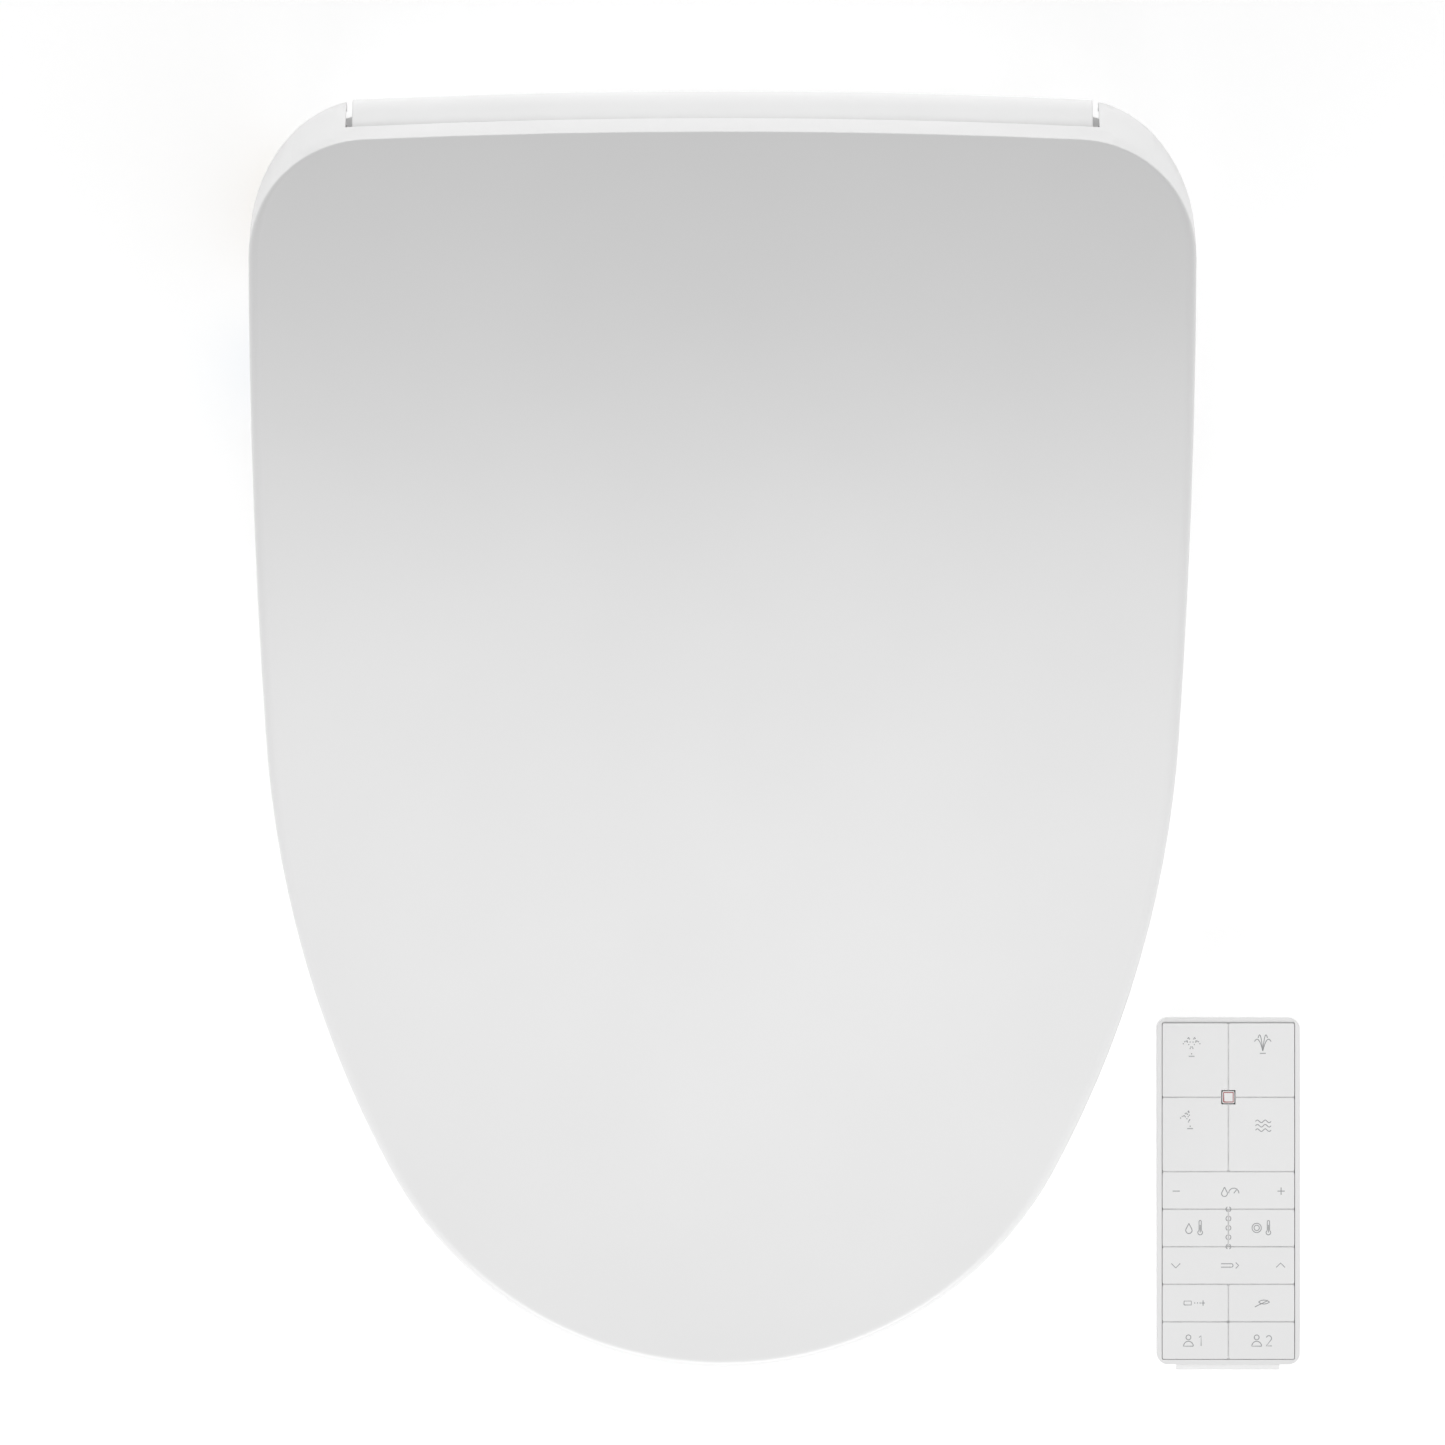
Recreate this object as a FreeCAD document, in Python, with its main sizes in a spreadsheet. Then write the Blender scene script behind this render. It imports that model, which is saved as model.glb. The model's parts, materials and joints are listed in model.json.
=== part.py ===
import FreeCAD, Part
import math
import os
import re

import Sketcher

# Electric bidet seat with its remote. Millimetres, +Z up, user's side towards -Y.
# The origin is midway between the two bowl bolts, on the plane of the bowl's rim.

SIZES = {
    # plan outline of the closed seat
    "seat_length": 520.0,
    "seat_width": 383.6,
    "rear_y": 45.0,
    "bow_radius": 3200.0,
    "corner_radius": 45.0,
    "blend_radius": 64.0,
    "side_radius": 3100.0,
    "side_y": -16.0,
    "shoulder_radius": 430.0,
    "nose_radius": 153.0,
    # lid
    "rear_height": 135.0,
    "front_height": 55.0,
    "crown_rise": 10.5,
    "lid_wall": 3.0,
    "crease_setback": 17.0,
    "crease_radius": 49.0,
    "facet_rise": 1.73,
    "notch_setback": 11.8,
    "skirt_rear": 84.0,
    "skirt_front": 32.0,
    # hinge
    "barrel_radius": 26.0,
    "axis_drop": 35.0,
    "housing_inset": 41.8,
    "slot_gap": 2.6,
    "lug_width": 7.0,
    "lug_radius": 12.0,
    "arm_width": 8.5,
    "arm_gap": 1.4,
    "arm_radius": 8.0,
    "pin_radius": 5.0,
    "pin_play": 0.05,
    "damper_radius": 13.0,
    "damper_length": 43.0,
    # base unit
    "side_gap": 5.0,
    "housing_front": -93.0,
    "housing_top": 84.0,
    "ridge_height": 118.0,
    "base_split": 30.0,
    "pan_floor": 4.0,
    "shell_wall": 3.0,
    "shoulder_front": 54.0,
    "shoulder_rise": 0.09,
    "rear_wall_inset": 11.0,
    # bracket on the bowl
    "bolt_spacing": 140.0,
    "bolt_hole": 5.5,
    "plate_half": 100.0,
    "plate_depth": 66.0,
    "plate_height": 9.0,
    "flange_height": 4.4,
    "flange_lip": 5.5,
    "adjuster_radius": 16.0,
    "slide_gap": 1.0,
    "rail_length": 45.0,
    # seat ring
    "seat_gap": 2.0,
    "seat_underside": 10.0,
    "seat_front": 38.0,
    "seat_rear": 68.0,
    "seat_wall": 3.0,
    "hole_half": 105.0,
    "hole_front": -427.0,
    "hole_rear": -140.0,
    "hole_middle": -275.0,
    "bridge_half": 62.0,
    "bridge_height": 42.0,
    # nozzle
    "nozzle_radius": 8.0,
    "nozzle_length": 110.0,
    "nozzle_height": 22.0,
    "nozzle_tilt": 10.0,
    "nozzle_play": 0.3,
    "port_radius": 13.0,
    "guide_wall": 2.5,
    "gear_module": 1.2,
    "gear_teeth": 14.0,
    "gear_width": 6.0,
    "rack_backlash": 0.24,
    "shaft_radius": 2.0,
    # dryer
    "fan_radius": 25.0,
    "blower_radius": 30.0,
    "blower_x": 92.0,
    "blower_y": -5.0,
    "blower_floor": 16.0,
    "blower_height": 28.0,
    "flap_x": 43.0,
    "flap_width": 21.0,
    # water
    "inlet_y": 0.0,
    "inlet_height": 24.0,
    "thread_radius": 10.48,
    "inlet_pocket": 20.0,
    "cord_x": 120.0,
    "cord_height": 17.0,
    "cord_bore": 3.6,
    # buttons on the side
    "button_radius": 7.0,
    "button_height": 41.0,
    # remote
    "remote_width": 58.5,
    "remote_length": 142.2,
    "remote_thick": 20.0,
    "remote_aside": 15.7,
    "remote_rear_y": -332.4,
    "remote_lift": 3.0,
    "remote_corner": 4.5,
    "remote_wall": 2.0,
    "key_border": 2.0,
    "key_gap": 0.4,
    "key_proud": 0.4,
    "key_travel": 0.6,
    "row_wash": 32.6,
    "row_front": 30.5,
    "row_small": 15.4,
    "stop_side": 5.0,
    "battery_radius": 5.25,
    "battery_length": 44.5,
    "holder_half": 21.2,
}

doc = FreeCAD.newDocument("bidet_seat")
sheet = doc.addObject("Spreadsheet::Sheet", "dims")
for row, (alias, number) in enumerate(SIZES.items(), start=1):
    sheet.set(f"A{row}", alias)
    sheet.set(f"B{row}", str(number))
    sheet.setAlias(f"B{row}", alias)
probe = doc.addObject("App::FeaturePython", "probe")
probe.addProperty("App::PropertyFloat", "Result")
doc.recompute()

WORD = re.compile(r"[a-z][a-z_]*")
FUNCTIONS = {"sin", "cos", "tan", "sqrt", "deg"}
SIDE = "(seat_width / 2 - side_gap)"
HOUSING_HALF = "(seat_width / 2 - housing_inset)"
REMOTE_X = "(seat_width / 2 + remote_aside)"
AXIS_Y = "(rear_y - barrel_radius)"
AXIS_Z = "(rear_height - axis_drop)"
FRONT_Y = "(rear_y - seat_length)"
nodes = {}


def formula(text):
    """The text with each size's name pointed at its cell in the sheet."""
    return WORD.sub(lambda m: m.group() if m.group() in FUNCTIONS else "dims." + m.group(), str(text))


def value(text):
    """What the sheet makes of a formula, as a number."""
    probe.setExpression("Result", formula(text))
    probe.recompute()
    return probe.Result


def vector(x, y, z):
    return FreeCAD.Vector(value(x), value(y), value(z))


# ---------------------------------------------------------------- bound primitives

def place(thing, start, turn=None):
    """Bind an object's place to the sheet, with a fixed turn."""
    if turn is not None:
        thing.Placement = FreeCAD.Placement(FreeCAD.Vector(), turn)
    for axis, text in zip("xyz", start):
        thing.setExpression("Placement.Base." + axis, formula(text))
    return thing


def block(low, high):
    """A box between two corners."""
    box = doc.addObject("Part::Box", "block")
    for prop, start, end in zip(("Length", "Width", "Height"), low, high):
        box.setExpression(prop, formula(f"({end}) - ({start})"))
    return place(box, low)


TURNS = {
    "z": FreeCAD.Rotation(),
    "x": FreeCAD.Rotation(FreeCAD.Vector(0, 1, 0), 90),
    "y": FreeCAD.Rotation(FreeCAD.Vector(1, 0, 0), -90),
}


def rod(radius, start, length, along="z"):
    """A cylinder from its start point along one axis."""
    cylinder = doc.addObject("Part::Cylinder", "rod")
    cylinder.setExpression("Radius", formula(radius))
    cylinder.setExpression("Height", formula(length))
    return place(cylinder, start, TURNS[along])


def fuse(*things):
    joined = doc.addObject("Part::MultiFuse", "fuse")
    joined.Shapes = list(things)
    return joined


def cut(base, *tools):
    """The base less its tools."""
    result = doc.addObject("Part::Cut", "cut")
    result.Base = base
    result.Tool = tools[0] if len(tools) == 1 else fuse(*tools)
    return result


def group(*things):
    """Separate solids that share one node."""
    compound = doc.addObject("Part::Compound", "group")
    compound.Links = list(things)
    return compound


def feature(shape, turn=None, start=None):
    """A shape made with Part's functions, placed after it is set."""
    thing = doc.addObject("Part::Feature", "shape")
    thing.Shape = shape
    if turn is not None:
        thing.Placement = FreeCAD.Placement(start, turn)
    return thing


def node(label, thing):
    thing.Label = label
    nodes[label] = thing
    return thing


# ---------------------------------------------------------------- PartDesign plates

def base_plane(body):
    return next(f for f in body.Origin.OriginFeatures if f.Role == "XY_Plane")


def new_sketch(body, name, height):
    sketch = body.newObject("Sketcher::SketchObject", name)
    sketch.AttachmentSupport = [(base_plane(body), "")]
    sketch.MapMode = "FlatFace"
    sketch.setExpression("AttachmentOffset.Base.z", formula(height))
    return sketch


def bind(sketch, constraint, name, text):
    index = sketch.addConstraint(constraint)
    sketch.renameConstraint(index, name)
    sketch.setExpression("Constraints." + name, formula(text))


def rectangle(sketch, low, high):
    """A rectangle whose four sides are bound to formulas."""
    x0, y0, x1, y1 = value(low[0]), value(low[1]), value(high[0]), value(high[1])
    corners = [(x0, y0), (x1, y0), (x1, y1), (x0, y1)]
    points = [FreeCAD.Vector(x, y, 0) for x, y in corners]
    for i in range(4):
        sketch.addGeometry(Part.LineSegment(points[i], points[(i + 1) % 4]), False)
    for i in range(4):
        sketch.addConstraint(Sketcher.Constraint("Coincident", i, 2, (i + 1) % 4, 1))
        kind = "Horizontal" if i % 2 == 0 else "Vertical"
        sketch.addConstraint(Sketcher.Constraint(kind, i))
    places = (("left_x", "DistanceX", 0, x0, low[0]), ("low_y", "DistanceY", 0, y0, low[1]),
              ("right_x", "DistanceX", 2, x1, high[0]), ("high_y", "DistanceY", 2, y1, high[1]))
    for name, kind, line, now, text in places:
        bind(sketch, Sketcher.Constraint(kind, -1, 1, line, 1, now), name, text)


def plate(low, high, corner=0, holes=()):
    """A flat plate or slab, with rounded upright corners and round holes through it."""
    body = doc.addObject("PartDesign::Body", "plate")
    sketch = new_sketch(body, "outline", low[2])
    rectangle(sketch, low, high)
    pad = body.newObject("PartDesign::Pad", "pad")
    pad.Profile = sketch
    pad.setExpression("Length", formula(f"({high[2]}) - ({low[2]})"))
    doc.recompute()
    if corner:
        edges = [f"Edge{i}" for i, e in enumerate(pad.Shape.Edges, start=1)
                 if abs(e.Vertexes[0].Z - e.Vertexes[-1].Z) > 0.1]
        fillet = body.newObject("PartDesign::Fillet", "corners")
        fillet.Base = (pad, edges)
        fillet.setExpression("Radius", formula(corner))
        doc.recompute()
    if holes:
        circles = new_sketch(body, "holes", high[2])
        for i, (x, y, radius) in enumerate(holes):
            centre = FreeCAD.Vector(value(x), value(y), 0)
            circles.addGeometry(Part.Circle(centre, FreeCAD.Vector(0, 0, 1), value(radius)), False)
            letter = chr(ord("a") + i)
            bind(circles, Sketcher.Constraint("Radius", i, value(radius)), "radius_" + letter, radius)
            bind(circles, Sketcher.Constraint("DistanceX", -1, 1, i, 3, centre.x), "x_" + letter, x)
            bind(circles, Sketcher.Constraint("DistanceY", -1, 1, i, 3, centre.y), "y_" + letter, y)
        pocket = body.newObject("PartDesign::Pocket", "bores")
        pocket.Profile = circles
        pocket.Type = "ThroughAll"
        doc.recompute()
    return body


# ---------------------------------------------------------------- outline of the seat

def unit(dx, dy):
    length = math.hypot(dx, dy)
    return dx / length, dy / length


def outline_circles(growth=0.0):
    """The six circles of the right half outline, rear to front: centre and radius.

    Each touches the next from inside, so an inset outline keeps the same centres.
    """
    rear_y, bow = value("rear_y"), value("bow_radius")
    half = value("seat_width / 2")
    corner, blend, side = value("corner_radius"), value("blend_radius"), value("side_radius")
    shoulder, nose = value("shoulder_radius"), value("nose_radius")
    bow_centre = (0.0, rear_y - bow)
    blend_centre = (half - blend, value("side_y"))
    side_centre = (half - side, value("side_y"))
    corner_centre = touching(bow_centre, bow - corner, blend_centre, blend - corner)
    nose_centre = (0.0, value(FRONT_Y) + nose)
    shoulder_centre = touching(side_centre, side - shoulder, nose_centre, shoulder - nose)
    circles = [(bow_centre, bow), (corner_centre, corner), (blend_centre, blend),
               (side_centre, side), (shoulder_centre, shoulder), (nose_centre, nose)]
    return [(centre, radius + growth) for centre, radius in circles]


def touching(a, reach_a, b, reach_b):
    """The point at two given distances from two centres, on the outline's outer side."""
    dx, dy = b[0] - a[0], b[1] - a[1]
    span = math.hypot(dx, dy)
    along = (reach_a ** 2 - reach_b ** 2 + span ** 2) / (2 * span)
    across = math.sqrt(reach_a ** 2 - along ** 2)
    ux, uy = dx / span, dy / span
    foot = (a[0] + along * ux, a[1] + along * uy)
    options = [(foot[0] - across * uy, foot[1] + across * ux), (foot[0] + across * uy, foot[1] - across * ux)]
    return max(options, key=sum)


def crease_circles(growth, deeper):
    """The circles of the lid's crease, which leaves the outline along the rear only."""
    circles = outline_circles(growth)
    bow_centre, (side_centre, side) = circles[0][0], circles[3]
    bow = value("bow_radius - crease_setback") - deeper
    corner = value("crease_radius")
    centre = touching(bow_centre, bow - corner, side_centre, side - corner)
    return [(bow_centre, bow), (centre, corner), (centre, corner)] + circles[3:]


SPLIT_TURN = math.radians(50)


def junction(first, second):
    """Where two circles of the outline touch, or a fixed turn on a circle listed twice."""
    (ca, ra), (cb, rb) = first, second
    if math.dist(ca, cb) < 1e-6:
        return ca[0] + ra * math.cos(SPLIT_TURN), ca[1] + ra * math.sin(SPLIT_TURN)
    if ra < rb:
        (ca, ra), (cb, rb) = (cb, rb), (ca, ra)
    ux, uy = unit(cb[0] - ca[0], cb[1] - ca[1])
    return ca[0] + ra * ux, ca[1] + ra * uy


def middle_of(circle, start, end):
    (cx, cy), radius = circle
    ux, uy = unit((start[0] + end[0]) / 2 - cx, (start[1] + end[1]) / 2 - cy)
    return cx + radius * ux, cy + radius * uy


def closed_wire(circles, height):
    """The closed outline, both halves, at a height."""
    (rear_x, rear_y), bow = circles[0]
    (nose_x, nose_y), nose = circles[-1]
    stops = [(0.0, rear_y + bow)]
    stops += [junction(a, b) for a, b in zip(circles, circles[1:])]
    stops.append((0.0, nose_y - nose))
    right = [(stops[i], middle_of(circle, stops[i], stops[i + 1]), stops[i + 1])
             for i, circle in enumerate(circles)]
    left = [tuple((-x, y) for x, y in reversed(arc)) for arc in reversed(right)]
    edges = [Part.Arc(*[FreeCAD.Vector(x, y, height) for x, y in arc]).toShape() for arc in right + left]
    return Part.Wire(edges)


def prism(inset, low, high):
    """The outline, inset all round, as a solid between two heights."""
    face = Part.Face(closed_wire(outline_circles(-inset), low))
    return face.extrude(FreeCAD.Vector(0, 0, high - low))


def profile(points, x_low, x_high):
    """A polygon of (y, z) points as a solid between two x."""
    corners = [FreeCAD.Vector(x_low, y, z) for y, z in points]
    face = Part.Face(Part.makePolygon(corners + corners[:1]))
    return face.extrude(FreeCAD.Vector(x_high - x_low, 0, 0))


def slab(x0, y0, z0, x1, y1, z1):
    """A plain box between two corners, in numbers."""
    return Part.makeBox(x1 - x0, y1 - y0, z1 - z0, FreeCAD.Vector(x0, y0, z0))


def post(radius, x, y, z0, z1):
    return Part.makeCylinder(radius, z1 - z0, FreeCAD.Vector(x, y, z0))


def crossbar(radius, x0, x1, y, z):
    """A cylinder along x."""
    return Part.makeCylinder(radius, x1 - x0, FreeCAD.Vector(x0, y, z), FreeCAD.Vector(1, 0, 0))


def both_sides(shape):
    return shape.fuse(shape.mirror(FreeCAD.Vector(), FreeCAD.Vector(1, 0, 0)))


def spindle(growth, half):
    """The hinge barrel: round about the hinge line and bowed like the rear edge."""
    y, z = value(AXIS_Y), value(AXIS_Z)
    bow, radius = value("bow_radius"), value("barrel_radius") + growth
    end = radius - (bow - math.sqrt(bow ** 2 - half ** 2))
    arc = Part.Arc(FreeCAD.Vector(-half, y + end, z), FreeCAD.Vector(0, y + radius, z),
                   FreeCAD.Vector(half, y + end, z)).toShape()
    foot = [FreeCAD.Vector(half, y + end, z), FreeCAD.Vector(half, y, z),
            FreeCAD.Vector(-half, y, z), FreeCAD.Vector(-half, y + end, z)]
    face = Part.Face(Part.Wire([arc] + Part.makePolygon(foot).Edges))
    return face.revolve(FreeCAD.Vector(0, y, z), FreeCAD.Vector(1, 0, 0), 360)


WIDE = 260.0
TALL = 220.0


# ---------------------------------------------------------------- lid

def crown(drop):
    """Everything under the lid's gently crowned top, lowered by a drop."""
    rear_y, front_y = value("rear_y - crease_setback"), value(FRONT_Y)
    rear_z, front_z = value("rear_height") - 1 - drop, value("front_height") - drop
    length = rear_y - front_y
    rise = value("crown_rise")
    margin = 40.0
    points = []
    for i in range(9):
        y = rear_y + margin - (length + 2 * margin) * i / 8
        share = (rear_y - y) / length
        z = rear_z + (front_z - rear_z) * share + 4 * rise * share * (1 - share)
        points.append(FreeCAD.Vector(-WIDE, y, z))
    curve = Part.BSplineCurve()
    curve.interpolate(points)
    corners = [points[-1], FreeCAD.Vector(-WIDE, front_y - margin, -margin),
               FreeCAD.Vector(-WIDE, rear_y + margin, -margin), points[0]]
    face = Part.Face(Part.Wire([curve.toShape()] + Part.makePolygon(corners).Edges))
    return face.extrude(FreeCAD.Vector(2 * WIDE, 0, 0))


def lid_form(inset):
    """The lid's outer form, or with an inset the hollow inside it."""
    rise = value("facet_rise")
    inward = inset * math.hypot(rise, 1) / rise
    over = 0.5
    top = value("rear_height") - 1 + over * rise
    bottom = top - rise * (value("crease_setback") + over + inward - inset)
    facet = Part.makeLoft([closed_wire(outline_circles(-inset), bottom),
                           closed_wire(crease_circles(-inset, over + inward), top)], True, True)
    under_crown = crown(inset)
    return prism(inset, 0, bottom).common(under_crown).fuse(facet.common(under_crown))


def skirt_tool():
    """Everything below the lid's lower edge."""
    rear, front = value("rear_y"), value(FRONT_Y)
    rear_z, front_z = value("skirt_rear"), value("skirt_front")
    slope = (rear_z - front_z) / (rear - front)
    reach = 30.0
    return profile([(front - reach, -reach), (front - reach, front_z - slope * reach),
                    (rear + reach, rear_z + slope * reach), (rear + reach, -reach)], -WIDE, WIDE)


def lug_x():
    start = value(f"{HOUSING_HALF} + slot_gap")
    return start, start + value("lug_width")


def notch_tool():
    """The opening in the lid's rear edge, over the barrel."""
    half = lug_x()[0]
    rear_y, bow = value("rear_y"), value("bow_radius")
    line = Part.makeCylinder(bow - value("notch_setback"), TALL, FreeCAD.Vector(0, rear_y - bow, 0))
    behind = slab(-half, value(AXIS_Y), 0, half, rear_y + 20, TALL).cut(line)
    return behind.fuse(spindle(1.0, half))


def make_lid():
    form = lid_form(0)
    wall = value("lid_wall")
    y, z = value(AXIS_Y), value(AXIS_Z)
    x0, x1 = lug_x()
    lug = crossbar(value("lug_radius"), x0, x1, y, z)
    web = slab(x0, y - value("lug_radius"), z, x1, y + value("lug_radius"), TALL)
    lugs = both_sides(lug.fuse(web)).common(form)
    shell = form.cut(lid_form(wall)).fuse(lugs)
    shell = shell.cut(skirt_tool()).cut(notch_tool())
    arm_start, arm_end = arm_x()
    shell = shell.cut(both_sides(slab(arm_start - 1, y, 0, arm_end + 1, value("rear_y") + 1, z + 3)))
    bores = both_sides(crossbar(value("pin_radius + pin_play"), x0 - 1, x1 + 1, y, z))
    return shell.cut(bores).removeSplitter()


def make_lid_bumpers():
    """Soft feet between the lid and the seat ring."""
    inside = lid_form(value("lid_wall"))
    contact_gap = 0.2
    seat_space = profile(seat_profile(-contact_gap, -20), -WIDE, WIDE)
    feet = [post(7, side * x, y, 0, TALL) for x, y in ((50, -450), (92, -424)) for side in (-1, 1)]
    return Part.makeCompound([foot.common(inside).cut(seat_space) for foot in feet])


# ---------------------------------------------------------------- seat ring

def seat_profile(drop, bottom_drop=0.0):
    """Side view of the seat ring, its top lowered by a drop."""
    rear = value("housing_front - seat_gap")
    front = value(FRONT_Y)
    low = value("seat_underside") + bottom_drop
    return [(rear, low), (rear, value("seat_rear") - drop), (front, value("seat_front") - drop), (front, low)]


def seat_hole(growth):
    """The seat's opening: two half ellipses that meet at the widest line."""
    half = value("hole_half") + growth
    middle = value("hole_middle")
    parts = []
    for end, sign in ((value("hole_rear"), 1), (value("hole_front"), -1)):
        reach = abs(end - middle) + growth
        turn = FreeCAD.Placement(FreeCAD.Vector(0, middle, 0), FreeCAD.Rotation(FreeCAD.Vector(0, 0, 1), 90))
        ellipse = Part.Ellipse(FreeCAD.Vector(), reach, half)
        face = Part.Face(Part.Wire(ellipse.toShape()))
        face.Placement = turn
        solid = face.extrude(FreeCAD.Vector(0, 0, TALL))
        y0, y1 = (middle, middle + reach + 5) if sign > 0 else (middle - reach - 5, middle)
        parts.append(solid.common(slab(-WIDE, y0, -5, WIDE, y1, TALL)))
    return parts[0].fuse(parts[1]).removeSplitter()


def bridge_tunnel(growth):
    """The way under the seat's rear bridge that the nozzle and the warm air use."""
    half = value("bridge_half") + growth
    rear = value("housing_front") + 10
    return slab(-half, value("hole_rear") - 32 - growth, -5, half, rear, value("bridge_height") + growth)


def seat_block(inset, drop, low_drop=0.0):
    """The ring's volume, with its outer edge, rear face and top drawn in."""
    side = prism(value("side_gap") + inset, -5, TALL)
    body = profile(seat_profile(drop, low_drop), -WIDE, WIDE).common(side)
    rear = value("housing_front - seat_gap")
    return body.cut(slab(-WIDE, rear - inset, -5, WIDE, rear + 20, TALL)) if inset else body


def arm_x():
    start = lug_x()[1] + value("arm_gap")
    return start, start + value("arm_width")


def make_arms():
    """The two arms that carry the ring on the hinge pins, each in a slot of the lid's rear edge."""
    y, z = value(AXIS_Y), value(AXIS_Z)
    x0, x1 = arm_x()
    rear = value("housing_front - seat_gap")
    radius = value("arm_radius")
    top = value("seat_rear") - 1.5
    inner = rear - value("seat_wall")
    bar = profile([(inner, top - 8), (inner, top), (y - 3, z + radius - 0.4), (y + 3, z - radius + 0.4)], x0, x1)
    return both_sides(bar.fuse(crossbar(radius, x0, x1, y, z)))


def make_seat():
    wall = value("seat_wall")
    outer = seat_block(0, 0).cut(seat_hole(0)).cut(bridge_tunnel(0))
    cavity = seat_block(wall, wall, -5).cut(seat_hole(wall)).cut(bridge_tunnel(wall))
    x0, x1 = arm_x()
    bores = both_sides(crossbar(value("pin_radius + pin_play"), x0 - 1, x1 + 1, value(AXIS_Y), value(AXIS_Z)))
    return outer.cut(cavity).fuse(make_arms()).cut(bores).removeSplitter()


def make_under_plate():
    inset = value("seat_wall") + 0.3
    low = value("seat_underside")
    layer = slab(-WIDE, -TALL * 3, low, WIDE, TALL, low + 2.5)
    return seat_block(inset, 3).common(layer).cut(seat_hole(inset)).cut(bridge_tunnel(inset))


def make_heater():
    """Warming sheet held against the inside of the seat's top."""
    inset = value("seat_wall") + 0.5
    drop = value("seat_wall") + 0.1
    sheet_solid = seat_block(inset, drop).cut(profile(seat_profile(drop + 1, -5), -WIDE, WIDE))
    return sheet_solid.cut(seat_hole(inset))


# ---------------------------------------------------------------- base unit

def housing_form(inset):
    """The unit's body above the split: low shoulders and the high middle with the barrel."""
    front = value("housing_front") + inset
    rear = value("rear_y")
    low = value("base_split") - (5 if inset else 0)
    shoulder = value("shoulder_front") - inset
    rise = value("shoulder_rise")
    shoulders = profile([(front, low), (front, shoulder), (rear, shoulder + rise * (rear - front)), (rear, low)],
                        -WIDE, WIDE).common(prism(value("side_gap") + inset, -5, TALL))
    half = value(HOUSING_HALF) - inset
    y, z = value(AXIS_Y), value(AXIS_Z)
    back = value("rear_y - rear_wall_inset") - inset
    top, ridge = value("housing_top") - inset, value("ridge_height") - inset
    middle = profile([(front, low), (front, top), (y, ridge), (back, z - 16), (back, low)], -half, half)
    return shoulders.fuse([middle, spindle(-inset, half)]).removeSplitter()


def screw_places():
    edge = value(SIDE)
    return [(side * (edge - inward), y) for inward, y in ((21.8, -36), (46.8, 28)) for side in (-1, 1)]


def pocket_block(growth):
    """The recess in the left side for the water connection."""
    reach = value("inlet_pocket") + growth
    y = value("inlet_y")
    return slab(-WIDE, y - reach, -5, 24.8 - value(SIDE) + growth, y + reach, 48 + growth)


def nozzle_turn():
    """From the nozzle's own frame, z back along its line and y away from the bowl."""
    upright = FreeCAD.Rotation(FreeCAD.Vector(0, 0, 1), 180)
    return FreeCAD.Rotation(FreeCAD.Vector(1, 0, 0), value("nozzle_tilt") - 90).multiply(upright)


def nozzle_start():
    return vector(0, "housing_front + 3", "nozzle_height")


def nozzle_rod(radius, start, end):
    """A cylinder on the nozzle's line, between two distances behind its tip."""
    shape = Part.makeCylinder(radius, end - start, FreeCAD.Vector(0, 0, start))
    shape.Placement = FreeCAD.Placement(nozzle_start(), nozzle_turn())
    return shape


def nozzle_box(half, low, high, start, end):
    """A box on the nozzle's line: half width, two heights above the line, two distances."""
    shape = slab(-half, low, start, half, high, end)
    shape.Placement = FreeCAD.Placement(nozzle_start(), nozzle_turn())
    return shape


def case_openings():
    """Openings through the unit's walls, shared by its two halves."""
    y_front = value("housing_front")
    axis_y, axis_z = value(AXIS_Y), value(AXIS_Z)
    flap_half = value("flap_width / 2") + 0.5
    flap_x = value("flap_x")
    side, half = value(SIDE), value(HOUSING_HALF)
    wall_start, outside = side - 11.8, side + 13
    openings = [
        nozzle_rod(value("port_radius"), -12, 14),
        slab(flap_x - flap_half, y_front - 2, 10, flap_x + flap_half, y_front + 5, 28),
        crossbar(1.06, flap_x - flap_half - 1.2, flap_x + flap_half + 1.2, y_front + 1.5, 26.5),
        both_sides(crossbar(value("pin_radius") + 0.3, half - 10, half + 6, axis_y, axis_z)),
        slab(-WIDE, -80, 9, -wall_start, -50, 25),
        Part.makeCylinder(8, 10, vector(f"-{SIDE} + 20.8", "inlet_y", "inlet_height"), FreeCAD.Vector(1, 0, 0)),
        Part.makeCylinder(6.6, 20, vector("cord_x", "rear_y - 20", "cord_height"), FreeCAD.Vector(0, 1, 0)),
        crossbar(5.2, wall_start, outside, -10, 17),
    ]
    button, height = value("button_radius") + 0.3, value("button_height")
    openings += [crossbar(button, wall_start, outside, y, height) for y in (-68, -48)]
    openings.append(post(7.2, 125, -60, 60, 120))
    return openings


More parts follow.
